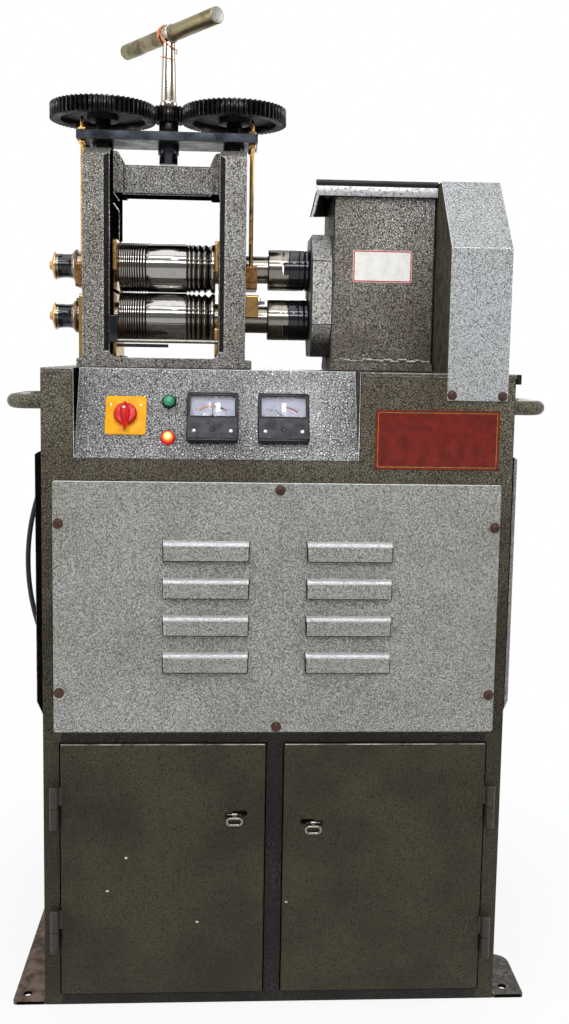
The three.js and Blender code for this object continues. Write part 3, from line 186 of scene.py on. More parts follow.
def bent(bm, route, radius, cyclic=False, steps=6, sides=5):
    # a round bar or wire along a smooth curve through the route's points
    points = [Vector(p) for p in route]
    count = len(points)
    line = []
    for i in range(count if cyclic else count - 1):
        p = [points[(i + k) % count] if cyclic else points[min(max(i + k, 0), count - 1)] for k in (-1, 0, 1, 2)]
        for k in range(steps):
            t = k / steps
            line.append(0.5 * (2 * p[1] + (p[2] - p[0]) * t + (2 * p[0] - 5 * p[1] + 4 * p[2] - p[3]) * t * t
                               + (3 * p[1] - p[0] - 3 * p[2] + p[3]) * t ** 3))
    if not cyclic:
        line.append(points[-1])
    curve = bpy.data.curves.new("route", "CURVE")
    curve.dimensions = "3D"
    curve.bevel_depth, curve.bevel_resolution, curve.use_fill_caps = radius, sides, not cyclic
    spline = curve.splines.new("POLY")
    spline.points.add(len(line) - 1)
    for point, place in zip(spline.points, line):
        point.co = (*place, 1)
    spline.use_cyclic_u = cyclic
    takeCurve(bm, curve, Matrix(), 0)


def rectangle(u0, u1, v0, v1, corner=0.0, steps=4):
    if corner <= 0:
        return [(u0, v0), (u1, v0), (u1, v1), (u0, v1)]
    points = []
    for u, v, start in ((u1 - corner, v1 - corner, 0), (u0 + corner, v1 - corner, 90),
                        (u0 + corner, v0 + corner, 180), (u1 - corner, v0 + corner, 270)):
        for k in range(steps + 1):
            angle = math.radians(start + 90 * k / steps)
            points.append((u + corner * math.cos(angle), v + corner * math.sin(angle)))
    return points


def circle(radius, u=0.0, v=0.0, count=48, turn=0.0):
    return [(u + radius * math.cos(2 * math.pi * i / count + turn),
             v + radius * math.sin(2 * math.pi * i / count + turn)) for i in range(count)]


def dressed(bm, node, bevel=0.8, pick=None, edge=0, drop=None, sharpest=31, segments=2, cuts=(), shape=None,
            only=None):
    # a CAD shape with its flat faces joined up and its edges broken, as a fettled or folded part has
    part = bmesh.new()
    part.from_mesh(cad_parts[node].data)
    bmesh.ops.scale(part, vec=toMillimetres, verts=part.verts)
    bmesh.ops.remove_doubles(part, verts=part.verts, dist=0.02)
    if drop:
        gone = [f for f in part.faces if drop(f.calc_center_median())]
        bmesh.ops.delete(part, geom=gone, context="FACES")
    bmesh.ops.dissolve_limit(part, angle_limit=math.radians(0.6), use_dissolve_boundaries=False,
                             verts=part.verts, edges=part.edges)
    for spot, normal in cuts:
        bmesh.ops.bisect_plane(part, geom=part.verts[:] + part.edges[:] + part.faces[:], dist=0.01,
                               plane_co=spot, plane_no=normal)
    if shape:
        for corner in part.verts:
            corner.co = shape(corner.co)
    part.normal_update()
    for face in part.faces:
        face.material_index = pick(face.calc_center_bounds(), face.normal) if pick else 0
    edges = [e for e in part.edges if e.is_manifold and e.calc_length() > bevel * 1.6
             and math.degrees(e.calc_face_angle(0)) > sharpest and (only is None or all(only(v.co) for v in e.verts))]
    broken = bmesh.ops.bevel(part, geom=edges, offset=bevel, segments=segments, profile=0.5, affect="EDGES",
                             clamp_overlap=False, material=0)["faces"]
    part.normal_update()
    for face in broken:
        if face.is_valid:
            face.material_index = edge(face.calc_center_bounds(), face.normal) if callable(edge) else edge
    mesh = bpy.data.meshes.new("dressed")
    part.to_mesh(mesh)
    part.free()
    bm.from_mesh(mesh)
    bpy.data.meshes.remove(mesh)


def place(name, bm, materials, body, slot, replaces=(), crease=32, weighted=False):
    bmesh.ops.recalc_face_normals(bm, faces=bm.faces)
    bmesh.ops.scale(bm, vec=toMetres, verts=bm.verts)
    mesh = bpy.data.meshes.new(name)
    bm.to_mesh(mesh)
    bm.free()
    for material in materials:
        mesh.materials.append(material)
    mesh.shade_smooth()
    mesh.set_sharp_from_angle(angle=math.radians(crease))
    piece = bpy.data.objects.new(name, mesh)
    scene.collection.objects.link(piece)
    if weighted:
        normals = piece.modifiers.new("flat faces", "WEIGHTED_NORMAL")
        normals.keep_sharp = True
    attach(piece, body)
    if replaces:
        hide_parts(*replaces)


def hammerEnamel(name, ground, crease, cell=4.2, relief=0.5, roughness=0.34, metallic=0.2, cobbled=0.5,
                 sparkle=0.35, line=0.1, gloss=0.4, coat=0.0, low="ffffff", lowFrom=0.0, lowTo=0.9, grime="d8d2c8"):
    # The enamel draws into swells 2 to 5 mm wide as it dries. The flakes lie flat on each swell and are painted in as
    # white specks, a painted highlight for their glints, and the creases are drawn darker, partly enamel collected
    # there and partly painted shade. The cells are near the top of that range, so that they show in a picture of the
    # whole machine.
    material = newMaterial(name)
    where = addNode(material, "ShaderNodeTexCoord").outputs["Object"]
    swells = addNode(material, "ShaderNodeTexVoronoi", {"Vector": where, "Scale": 1000 / cell},
                     feature="DISTANCE_TO_EDGE").outputs[0]
    swells = addNode(material, "ShaderNodeMapRange", {"Value": swells, "From Max": line * 2.6},
                     interpolation_type="SMOOTHSTEP").outputs[0]
    wrinkles = addNode(material, "ShaderNodeTexNoise", {"Vector": where, "Scale": 1000 / cell / 0.72, "Detail": 1.0,
                                                        "Roughness": 0.5, "Distortion": 0.5}).outputs[0]
    wrinkles = addNode(material, "ShaderNodeMath", {0: wrinkles, 1: 0.5}, operation="SUBTRACT").outputs[0]
    wrinkles = addNode(material, "ShaderNodeMath", {0: wrinkles}, operation="ABSOLUTE").outputs[0]
    wrinkles = addNode(material, "ShaderNodeMapRange", {"Value": wrinkles, "From Max": line},
                       interpolation_type="SMOOTHSTEP").outputs[0]
    skin = addNode(material, "ShaderNodeMix", {0: cobbled, 2: wrinkles, 3: swells}, data_type="FLOAT").outputs[0]
    clouds = addNode(material, "ShaderNodeTexNoise", {"Vector": where, "Scale": 1000 / 120, "Detail": 4.0,
                                                      "Roughness": 0.55}).outputs[0]
    flakes = addNode(material, "ShaderNodeTexNoise", {"Vector": where, "Scale": 1000 / 1.3, "Detail": 1.0}).outputs[0]
    tone = addNode(material, "ShaderNodeMapRange", {"Value": skin, "From Min": 0.05, "From Max": 0.75}).outputs[0]
    tone = addNode(material, "ShaderNodeMix", {0: tone, 6: linear(crease), 7: linear(ground)},
                   data_type="RGBA").outputs[2]
    glint = addNode(material, "ShaderNodeMapRange", {"Value": flakes, "From Min": 0.54, "From Max": 0.68,
                                                     "To Max": sparkle}).outputs[0]
    tone = addNode(material, "ShaderNodeMix", {0: glint, 6: tone, 7: (1, 1, 1, 1)}, data_type="RGBA",
                   blend_type="OVERLAY").outputs[2]
    film = addNode(material, "ShaderNodeValToRGB", {0: clouds}, [(0.36, grime), (0.6, "ffffff")]).outputs[0]
    tone = addNode(material, "ShaderNodeMix", {0: 0.8, 6: tone, 7: film}, data_type="RGBA",
                   blend_type="MULTIPLY").outputs[2]
    # the low colour darkens the piece below lowTo, a painted shade of the light falling off downwards
    height = addNode(material, "ShaderNodeSeparateXYZ", {0: where}).outputs[2]
    rise = addNode(material, "ShaderNodeMapRange", {"Value": height, "From Min": lowFrom,
                                                    "From Max": lowTo}).outputs[0]
    heightShade = addNode(material, "ShaderNodeMix", {0: rise, 6: linear(low), 7: (1, 1, 1, 1)},
                   data_type="RGBA").outputs[2]
    tone = addNode(material, "ShaderNodeMix", {0: 1.0, 6: tone, 7: heightShade}, data_type="RGBA",
                   blend_type="MULTIPLY").outputs[2]
    sheen = addNode(material, "ShaderNodeMapRange", {"Value": clouds, "From Min": 0.3, "From Max": 0.7,
                                                     "To Min": roughness * 1.25, "To Max": roughness * 0.85}).outputs[0]
    dents = addNode(material, "ShaderNodeBump", {"Strength": 1.0, "Distance": relief / 1000,
                                                 "Height": skin}).outputs[0]
    shader = addNode(material, "ShaderNodeBsdfPrincipled", {
        "Base Color": tone, "Metallic": metallic, "Roughness": sheen, "Normal": dents, "IOR": 1.5,
        "Specular IOR Level": gloss, "Coat Weight": coat, "Coat Roughness": 0.12}).outputs[0]
    addNode(material, "ShaderNodeOutputMaterial", {"Surface": shader})
    return material


def metalSurface(name, bright, stained, roughness, lines=(1, 1, 1), lineWidth=0.6, depth=0.15, patch=22,
                 share=0.5, metallic=1.0, coat=0.0):
    # Tool marks are stretched along the cut, and oil or rust lies in patches over them. Real marks are 0.1 to
    # 0.4 mm apart, and they are drawn coarser so that they show at this size.
    material = newMaterial(name)
    where = addNode(material, "ShaderNodeTexCoord").outputs["Object"]
    cut = addNode(material, "ShaderNodeMapping", {"Vector": where, "Scale": lines}).outputs[0]
    marks = addNode(material, "ShaderNodeTexNoise", {"Vector": cut, "Scale": 1000 / lineWidth, "Detail": 2.0,
                                                     "Roughness": 0.6}).outputs[0]
    patches = addNode(material, "ShaderNodeTexNoise", {"Vector": where, "Scale": 1000 / patch, "Detail": 6.0,
                                                       "Roughness": 0.66, "Distortion": 0.5}).outputs[0]
    spread = addNode(material, "ShaderNodeMapRange", {"Value": patches, "From Min": 0.62 - share * 0.3,
                                                      "From Max": 0.75 - share * 0.2}).outputs[0]
    tone = addNode(material, "ShaderNodeMix", {0: spread, 6: linear(bright), 7: linear(stained)},
                   data_type="RGBA").outputs[2]
    streak = addNode(material, "ShaderNodeValToRGB", {0: marks}, [(0.35, 0.78), (0.62, 1.0)]).outputs[0]
    tone = addNode(material, "ShaderNodeMix", {0: 0.7, 6: tone, 7: streak}, data_type="RGBA",
                   blend_type="MULTIPLY").outputs[2]
    dull = addNode(material, "ShaderNodeMapRange", {"Value": patches, "From Min": 0.35, "From Max": 0.7,
                                                    "To Min": roughness * 0.8, "To Max": roughness * 1.5}).outputs[0]
    grooves = addNode(material, "ShaderNodeBump", {"Strength": depth, "Distance": 0.00012,
                                                   "Height": marks}).outputs[0]
    shader = addNode(material, "ShaderNodeBsdfPrincipled", {
        "Base Color": tone, "Metallic": metallic, "Roughness": dull, "Normal": grooves, "Coat Weight": coat,
        "Coat Roughness": 0.06}).outputs[0]
    addNode(material, "ShaderNodeOutputMaterial", {"Surface": shader})
    return material


def mouldedSurface(name, colour, shade, roughness, grainSize=0.8, depth=0.08, coat=0.0, gloss=0.4):
    # The mould or spray leaves a fine even grain, drawn coarser than the real 0.2 mm, and handling leaves it a
    # little patchy.
    material = newMaterial(name)
    where = addNode(material, "ShaderNodeTexCoord").outputs["Object"]
    grain = addNode(material, "ShaderNodeTexNoise", {"Vector": where, "Scale": 1000 / grainSize,
                                                     "Detail": 2.0}).outputs[0]
    handled = addNode(material, "ShaderNodeTexNoise", {"Vector": where, "Scale": 1000 / 14, "Detail": 4.0,
                                                       "Roughness": 0.6}).outputs[0]
    tone = addNode(material, "ShaderNodeValToRGB", {0: handled}, [(0.38, shade), (0.58, colour)]).outputs[0]
    dull = addNode(material, "ShaderNodeMapRange", {"Value": handled, "From Min": 0.35, "From Max": 0.65,
                                                    "To Min": roughness * 1.3, "To Max": roughness * 0.85}).outputs[0]
    relief = addNode(material, "ShaderNodeBump", {"Strength": depth, "Distance": 0.0001,
                                                  "Height": grain}).outputs[0]
    shader = addNode(material, "ShaderNodeBsdfPrincipled", {
        "Base Color": tone, "Roughness": dull, "Normal": relief, "IOR": 1.5, "Specular IOR Level": gloss,
        "Coat Weight": coat, "Coat Roughness": 0.08}).outputs[0]
    addNode(material, "ShaderNodeOutputMaterial", {"Surface": shader})
    return material


# Hammer finish sprayed on sheet steel: pale and even, with fine wrinkles that catch light on their upper sides.
silverHammer = hammerEnamel("silver hammer enamel sprayed", "a8a9a4", "5c5d58", cell=4.2, relief=1.1, cobbled=0.15,
                            metallic=0.25, roughness=0.32, line=0.09, grime="eceae6")
# The guard had a thinner coat: flat, with the creases showing as short dark lines.
guardHammer = hammerEnamel("silver hammer enamel sprayed thin", "b2b5b7", "3c3d3b", cell=4.2, relief=0.7,
                           cobbled=0.2, metallic=0.1, roughness=0.38, line=0.066, grime="f0efec")
# Where such a sheet is folded, the fold stays smooth and is drawn paler: a painted highlight on folds and upper edges.
silverFoldHighlight = hammerEnamel("silver hammer enamel on a fold, painted highlight", "c6c8ca", "8c8e90", cell=4.4, relief=0.25, cobbled=0.2,
                          metallic=0.2, roughness=0.26, line=0.06, coat=0.2, grime="f4f4f2")
# Under the louvres their lower edges and ends are drawn dark brown: a painted shade.
louvreShade = mouldedSurface("dark brown painted shade on louvre edge", "3c362c", "29241d", 0.6, grainSize=1.6, depth=0.2,
                             gloss=0.05)
# The panel was sprayed wet: glossy, with dark plum creases and hard white glints.
panelHammer = hammerEnamel("silver hammer enamel sprayed wet", "b9b9ba", "070608", cell=3.8, relief=1.5,
                           roughness=0.16, metallic=0.4, cobbled=0.6, sparkle=0.8, line=0.12, coat=0.4, grime="cfcfd2")
# The same finish sprayed thicker on the casting, so the swells run coarser and the creases darker. Its lowest part is
# darkened as painted shade.
castingHammer = hammerEnamel("silver hammer enamel on cast iron", "dcdedd", "1b1b1a", cell=5.4, relief=1.1,
                             roughness=0.26, metallic=0.3, cobbled=0.5, line=0.09, low="6a6866", lowFrom=0.975,
                             lowTo=1.0)
# Its side faces are a darker copy in flat grey, with hardly a crease: painted shade on the faces turned away from the
# light.
castingSideShade = hammerEnamel("hammer enamel on the flange side in painted shade", "8b8c8a", "2f2f2e", cell=5.2, relief=0.6, roughness=0.5,
                           metallic=0.0, cobbled=0.35, line=0.075, gloss=0.05)
# Grey bronze hammer finish brushed on the mill frame: dark creases, brown in the hollows.
greyHammer = hammerEnamel("grey hammer enamel brushed", "b4b2ad", "080604", cell=3.7, relief=1.0, roughness=0.25,
                          metallic=0.35, cobbled=0.5, sparkle=0.6, line=0.13, grime="c0b7ac")
# The cross bar had one more coat, which filled its creases.
barHammer = hammerEnamel("grey hammer enamel second coat", "c2c2c0", "12110f", cell=4.0, relief=1.0, roughness=0.22,
                         metallic=0.4, cobbled=0.55, sparkle=0.7, line=0.11, grime="cbc6bf")
# Inside the frame's window the enamel is drawn nearly black as painted shade, with white specks as painted glints.
insideHammer = hammerEnamel("dark hammer enamel in the window", "2c2b28", "080706", cell=4.5, relief=1.2,
                            roughness=0.3, metallic=0.0, cobbled=0.5, sparkle=0.8, line=0.14, gloss=0.12)
# The gearbox has it with more brown, and its lower part darkened as painted shade.
gearboxHammer = hammerEnamel("grey hammer enamel on gearbox", "b3afa8", "0c0906", cell=3.7, relief=0.9,
                             roughness=0.27, metallic=0.3, cobbled=0.5, sparkle=0.6, line=0.125, low="cfc9c5",
                             lowFrom=0.98, lowTo=1.12, grime="c6beb4")
# Its side faces are a darker, flat copy of it: painted shade on the faces turned sideways.
gearboxSideShade = hammerEnamel("grey enamel on cast side in painted shade", "6c6761", "2b2824", cell=4.2, relief=0.4, roughness=0.55,
                           metallic=0.0, cobbled=0.35, sparkle=0.1, line=0.088, gloss=0.08)
# Dark olive hammer finish on the cabinet: fine wrinkles, paler towards the bench, its lower part darkened as painted
# shade.
cabinetHammer = hammerEnamel("olive hammer enamel sprayed", "77715f", "050403", cell=3.8, relief=0.9,
                             roughness=0.32, metallic=0.2, cobbled=0.6, sparkle=0.5, line=0.125, gloss=0.25,
                             low="a39d92", lowFrom=0.55, lowTo=0.86, grime="cbc3b8")
# On the bench it is greyer, because grease and filings have worked into it.
benchHammer = hammerEnamel("grey hammer enamel on bench", "757067", "0a0806", cell=4.2, relief=0.9, roughness=0.3,
                           metallic=0.2, cobbled=0.6, line=0.12, gloss=0.25, grime="cbc3b8")
# Doors and rails sit lower: brown, drawn darker than the cabinet above as painted shade, with a soft wrinkled sheen.
doorHammer = hammerEnamel("brown hammer enamel sprayed", "433d29", "0c0b07", cell=4.2, relief=0.9, roughness=0.34,
                          metallic=0.1, cobbled=0.4, sparkle=0.12, line=0.1, gloss=0.3, grime="b9b3a6")
# Between the doors and along the base the enamel is drawn nearly black as painted shade, with a wet gloss on the
# creases.
railHammer = hammerEnamel("dark hammer enamel on rails", "2b2721", "060504", cell=4.8, relief=1.2, roughness=0.3,
                          metallic=0.1, cobbled=0.3, sparkle=0.5, line=0.13, gloss=0.25, grime="b0aca4")
# Satin black enamel brushed inside the sheet covers: dull with a slight brush drag.
blackEnamel = mouldedSurface("black enamel brushed", "1c1c1e", "131314", 0.42, grainSize=1.6, depth=0.2, gloss=0.2)
# Flat black with no gloss at all: painted shade in gaps, holes, bores, notches and under the lid.
shadeBlack = mouldedSurface("flat black painted shade", "100f0e", "090808", 0.8, grainSize=1.6, depth=0.2, gloss=0.0)
# Black enamel brushed on the lid, with soft highlights.
lidBlack = mouldedSurface("black enamel on the lid", "1b1c20", "101114", 0.3, grainSize=2.5, depth=0.4, gloss=0.25)
# Khaki primer on the guard's left wall, never given its top coat and drawn darker as painted shade: flat and chalky.
khakiPrimerShaded = mouldedSurface("khaki primer sprayed, darkened as painted shade", "4f4a3d", "3d382e", 0.65, grainSize=1.2, depth=0.25, gloss=0.05)
# Paint rubbed through to steel along edges: bright specks between grey enamel, partly wear and partly a painted
# highlight along the edges.
rubbedEdgeAndHighlight = metalSurface("steel edge rubbed bare and painted highlight", "9a978f", "5a554c", 0.38, lineWidth=2.2, depth=0.3, patch=9,
                          share=0.6, metallic=0.7)
# The same rub on brown sheet only thins the paint, so the edge is a dull line.
darkEdge = metalSurface("dark enamel edge rubbed", "4c473e", "26231d", 0.4, lineWidth=2.4, depth=0.3, patch=10,
                        share=0.75, metallic=0.4)
# The doors' upward facing edges are drawn as a pale line: a painted highlight.
doorTopHighlight = metalSurface("door top edge painted highlight", "8d887c", "3a362c", 0.34, lineWidth=2.4, depth=0.3, patch=30,
                        share=0.6, metallic=0.5)
# The lid has been knocked: its lip is bright steel with black chips of paint left on it, and the brightness is partly a
# painted highlight on its sloped face.
lidEdgeAndHighlight = metalSurface("lid edge chipped, painted highlight", "c9cacc", "5e5c58", 0.3, lineWidth=1.6, depth=1.2, patch=4.5,
                       share=0.5, metallic=0.6)
# Hot rolled steel left bare: brown rust with grey showing through.
rustySteel = metalSurface("mild steel rusted", "3f342b", "2a1e14", 0.55, lineWidth=1.2, depth=0.6, patch=12,
                          share=0.7, metallic=0.45)
# Hinges caught the spray, and rust comes through it as soft brown spots.
hingeSteel = metalSurface("hinge sprayed over, rusting", "35302a", "33231a", 0.45, lineWidth=1.0, depth=0.8, patch=7,
                          share=0.65, metallic=0.2)
# Bolt heads are red brown and slightly wet with oil.
boltSteel = metalSurface("bolt head rusted and oiled", "553120", "24150b", 0.4, lineWidth=1.0, depth=0.8, patch=5,
                         share=0.7, metallic=0.3)
# The left foot plate has weathered to an even pale brown.
footSteel = metalSurface("mild steel plate weathered", "6b5646", "40352a", 0.6, lineWidth=1.4, depth=0.6,
                         patch=16, share=0.75, metallic=0.25)
# The right ones caught the cabinet's spray and look darker.
sprayedFoot = metalSurface("mild steel plate oversprayed", "413b2f", "1f1b16", 0.5, lineWidth=1.4, depth=0.6,
                          patch=12, share=0.75, metallic=0.2)
# Roll steel ground and polished round its axis: hair lines across X, near mirror.
rollSteel = metalSurface("roll steel polished", "a19f9b", "7d756b", 0.1, lines=(1, 0.04, 0.04), lineWidth=0.5,
                         depth=0.05, patch=60, share=0.3)
# The groove bottoms are drawn as dark brown lines.
rollGroove = metalSurface("roll steel groove bottoms dark", "3a342f", "1d1916", 0.25, lines=(1, 0.05, 0.05),
                          lineWidth=0.8, depth=0.1, patch=30, share=0.5)
# Journals, rings and hubs as turned, with thin brown oil.
turnedSteel = metalSurface("steel turned", "8a857d", "6b6459", 0.17, lines=(1, 0.03, 0.03), lineWidth=1.6,
                           depth=0.08, patch=90, share=0.35)
# Chromed stem: plain bright, stripes only from what it mirrors.
stemChrome = metalSurface("steel chromed", "b7afa5", "7f7569", 0.12, lines=(0.04, 0.04, 1), lineWidth=0.8,
                          depth=0.04, patch=30, share=0.25)
# Tee bar in drawn steel that hands have turned olive.
barSteel = metalSurface("steel bar handled", "948869", "655c46", 0.36, lines=(0.1, 0.1, 1), lineWidth=1.0,
                        depth=0.18, patch=26, share=0.5)
# Ends faced off on the mill: matt pale grey.
milledFace = metalSurface("steel face milled", "a8a8a2", "84827b", 0.34, lines=(1, 1, 0.1), lineWidth=0.9,
                          depth=0.25, patch=14, share=0.3)
# Screw plate flame cut and blued: dark navy with paler scuffs drawn along X.
bluedPlate = metalSurface("steel plate blued", "3e434d", "1b1e25", 0.34, lines=(0.06, 1, 1), lineWidth=1.6,
                          depth=0.3, patch=34, share=0.75, metallic=0.8)
# The gears' flat sides were never wiped: plain black with a faint sheen.
gearSide = mouldedSurface("gear steel black from heat treatment", "19191b", "0c0b0b", 0.5, grainSize=2.0, depth=0.1,
                          gloss=0.12)
# Gear teeth and screws blackened and oiled: dark with wet highlights.
oiledGear = metalSurface("gear steel blackened and oiled", "33312f", "151414", 0.2, lineWidth=1.2, depth=0.3,
                         patch=9, share=0.8, metallic=0.8)
# Couplings were polished before they were blackened, so they mirror in dark blue grey.
blackOxide = metalSurface("steel blackened and polished", "23252b", "111215", 0.13, lines=(1, 0.05, 0.05),
                          lineWidth=1.0, depth=0.06, patch=30, share=0.5, metallic=0.6, coat=0.4)
# Sand cast bronze gone brown under oil, rough and dull.
castBronze = metalSurface("bronze cast and oiled", "93693f", "4b3420", 0.38, lineWidth=1.6, depth=0.5, patch=12,
                          share=0.6, metallic=0.85)
# Milled faces show straight fine lines and a paler yellow.
milledBronze = metalSurface("bronze milled", "c9a268", "93703f", 0.3, lines=(1, 0.1, 0.1), lineWidth=0.9,
                            depth=0.2, patch=14, share=0.4, metallic=0.95)
# Turned brass is the yellowest, with rings of light round its axis.
turnedBrass = metalSurface("brass turned", "d0a768", "86603a", 0.22, lines=(1, 0.04, 0.04), lineWidth=0.6,
                           depth=0.1, patch=10, share=0.35)
# Zinc on small fasteners: a bright blue grey with little depth.
zincSteel = metalSurface("fastener steel zinc plated", "c9cbcc", "8e8f8e", 0.28, lineWidth=0.8, depth=0.1,
                         patch=6, share=0.3)
# Bare copper wire, a little pink where it was drawn through the die.
copperWire = metalSurface("copper wire drawn", "d98f63", "9c5330", 0.26, lineWidth=0.8, depth=0.1, patch=8,
                          share=0.4)
# Grey machinery enamel on the motor: even, with a half gloss.
motorEnamel = mouldedSurface("machinery enamel sprayed", "5c6468", "4a5155", 0.38, grainSize=2.0, depth=0.15)
# Cast iron pulleys turned all over: grey with fine rings.
pulleyIron = metalSurface("pulley iron turned", "8b8985", "5c5750", 0.36, lines=(1, 0.05, 0.05), lineWidth=1.0,
                          depth=0.2, patch=20, share=0.5, metallic=0.9)
# Rubber belt: matt, slightly grey from dust.
beltRubber = mouldedSurface("belt rubber moulded", "1f1e1d", "151414", 0.75, grainSize=1.2, depth=0.4)
# The lead's vinyl sheath is smoother and takes a soft highlight along its length.
leadVinyl = mouldedSurface("lead sheath extruded vinyl", "1b1b1d", "131315", 0.38, grainSize=1.5, depth=0.06)
# Polished ABS mouldings: black with a sharp highlight.
blackAbs = mouldedSurface("black abs moulded", "09090a", "050506", 0.2, grainSize=0.9, depth=0.12, gloss=0.25)
# The meters' lower fronts have a fine spark texture that looks grey.
meterAbs = mouldedSurface("grey black abs spark textured", "45464b", "333438", 0.5, grainSize=1.1, depth=0.5,
                          gloss=0.2)
# Coloured ABS of the switch: clean and strong in colour, with a soft gloss.
yellowAbs = mouldedSurface("yellow abs moulded", "f7b408", "eba206", 0.34, grainSize=0.9, depth=0.06, gloss=0.2)
redAbs = mouldedSurface("red abs moulded", "d60f0c", "b00b08", 0.26, grainSize=0.9, depth=0.06, gloss=0.3)
# Acrylic over an unlit bulb: deep green with a hard glint.
greenLens = mouldedSurface("green acrylic moulded", "079465", "057a52", 0.1, grainSize=3.0, depth=0.05, coat=0.6)
# Printed card and its inks lie flat and matt behind the window.
dialCard = mouldedSurface("dial card printed", "d8d9ee", "cbcce4", 0.6, grainSize=0.6, depth=0.1)
orangeInk = mouldedSurface("orange ink printed", "dfa85e", "c98f45", 0.6, grainSize=0.6)
redInk = mouldedSurface("red ink printed", "b4483c", "9c3c33", 0.6, grainSize=0.6)
darkInk = mouldedSurface("dark ink printed", "2c2c33", "202026", 0.6, grainSize=0.6)
# Vinyl sheet of the sticker: white and smooth, with a red line.
stickerVinyl = mouldedSurface("white vinyl sheet", "f1f1ee", "e6e5e0", 0.35, grainSize=2.0, depth=0.05, coat=0.2)
redVinyl = mouldedSurface("red vinyl sheet", "c8332b", "b12b24", 0.35, grainSize=2.0, depth=0.05)
# The plate is enamelled dull red, and its line was cut through to bright gold metal.
plateEnamel = mouldedSurface("red enamel on aluminium plate", "742018", "5c1711", 0.3, grainSize=2.2, depth=0.1,
                             gloss=0.25)
goldLine = metalSurface("aluminium line bright cut", "c9a050", "96703a", 0.25, lineWidth=1.0, depth=0.1, patch=8)
# Pale filler in chips on the doors and a smear at the gearbox foot: chalky and rough.
paleFiller = mouldedSurface("pale filler smeared", "dedbd2", "b9b4a8", 0.55, grainSize=1.4, depth=0.5)


def litLens(spot):
    # Red acrylic over a lit bulb: nearly white in the middle, orange then red at the rim.
    material = newMaterial("red acrylic lit from behind")
    where = addNode(material, "ShaderNodeTexCoord").outputs["Object"]
    away = addNode(material, "ShaderNodeVectorMath", {0: where, 1: spot * 0.001},
                   operation="DISTANCE").outputs["Value"]
    reach = addNode(material, "ShaderNodeMapRange", {"Value": away, "From Max": 0.0115}).outputs[0]
    glow = addNode(material, "ShaderNodeValToRGB", {0: reach},
                   [(0.1, "fff6d8"), (0.34, "ffd04a"), (0.55, "ff6a30"), (0.85, "e0231a")]).outputs[0]
    ribs = addNode(material, "ShaderNodeTexNoise", {"Vector": where, "Scale": 1000 / 2.0}).outputs[0]
    relief = addNode(material, "ShaderNodeBump", {"Strength": 0.2, "Distance": 0.0002, "Height": ribs}).outputs[0]
    shader = addNode(material, "ShaderNodeBsdfPrincipled", {
        "Base Color": glow, "Roughness": 0.15, "Normal": relief, "Emission Color": glow,
        "Emission Strength": 0.9, "IOR": 1.49}).outputs[0]
    addNode(material, "ShaderNodeOutputMaterial", {"Surface": shader})
    return material


def clearWindow():
    # Clear acrylic moulded over the dial, scratched a little.
    material = newMaterial("clear acrylic moulded")
    where = addNode(material, "ShaderNodeTexCoord").outputs["Object"]
    scratches = addNode(material, "ShaderNodeTexNoise", {"Vector": where, "Scale": 1000 / 9, "Detail": 5.0}).outputs[0]
    dull = addNode(material, "ShaderNodeMapRange", {"Value": scratches, "From Min": 0.4, "From Max": 0.7,
                                                    "To Min": 0.02, "To Max": 0.09}).outputs[0]
    shader = addNode(material, "ShaderNodeBsdfPrincipled", {
        "Base Color": (1, 1, 1, 1), "Roughness": dull, "IOR": 1.49, "Transmission Weight": 1.0}).outputs[0]
    addNode(material, "ShaderNodeOutputMaterial", {"Surface": shader})
    return material


redLamp = (-157.6, 838.0)
redLit = litLens(onPanel(*redLamp) @ Vector((0, 0, 12)))
clearAcrylic = clearWindow()
print("materials made")

# The camera stands where the photographer stood.

view = {"place": (-0.070, -1.695, 0.955), "lens": 36.914, "pitch": 6.05, "yaw": 3.0, "roll": 0.95,
        "shiftY": -44 / 1024}


def makeCamera():
    pitch, yaw, roll = (math.radians(view[k]) for k in ("pitch", "yaw", "roll"))
    ahead = Vector((math.sin(yaw) * math.cos(pitch), math.cos(yaw) * math.cos(pitch), -math.sin(pitch)))
    right = Vector((math.cos(yaw), -math.sin(yaw), 0))
    up = Vector((math.sin(yaw) * math.sin(pitch), math.cos(yaw) * math.sin(pitch), math.cos(pitch)))
    across = right * math.cos(roll) + up * math.sin(roll)
    upward = up * math.cos(roll) - right * math.sin(roll)
    data = bpy.data.cameras.new("camera")
    data.sensor_width, data.lens, data.shift_y = 36.0, view["lens"], view["shiftY"]
    camera = bpy.data.objects.new("camera", data)
    scene.collection.objects.link(camera)
    turn = Matrix((across, upward, -ahead)).transposed().to_4x4()
    camera.matrix_world = Matrix.Translation(view["place"]) @ turn
    scene.camera = camera


makeCamera()

# Cabinet of folded sheet.


def dress(name, node, materials, body, slot, crease=32, **looks):
    bm = bmesh.new()
    dressed(bm, node, **looks)
    place(name, bm, materials, body, slot, [node], crease, weighted=True)


foot = {"bevel": 0.9, "end": 357.0, "endReach": 16.0}
for name, node, steel in (("leftFootPlate", "left_foot", footSteel),
                          ("rightFrontFootPlate", "right_front_foot", sprayedFoot),
                          ("rightRearFootPlate", "right_rear_foot", sprayedFoot)):
    # the plates' cut ends are black, a painted shade
    dress(name, node, [steel, shadeBlack], "cabinet", "rusty_steel", bevel=foot["bevel"],
          pick=lambda c, n: 1 if abs(n.z) < 0.5 and abs(abs(c.x) - foot["end"]) < foot["endReach"] else 0)

shell = {"bevel": 0.6}
for name, node in (("floorPlate", "floor_plate"), ("leftSide", "left_side"), ("rightSide", "right_side"),
                   ("backPanel", "back_panel"), ("motorShelf", "motor_shelf")):
    dress(name, node, [cabinetHammer, darkEdge], "cabinet", "dark_hammertone", bevel=shell["bevel"], edge=1)

# Past the cabinet's right side the bench's overhang is black.
bench = {"bevel": 1.2, "side": 333.0, "seam": 333.2}
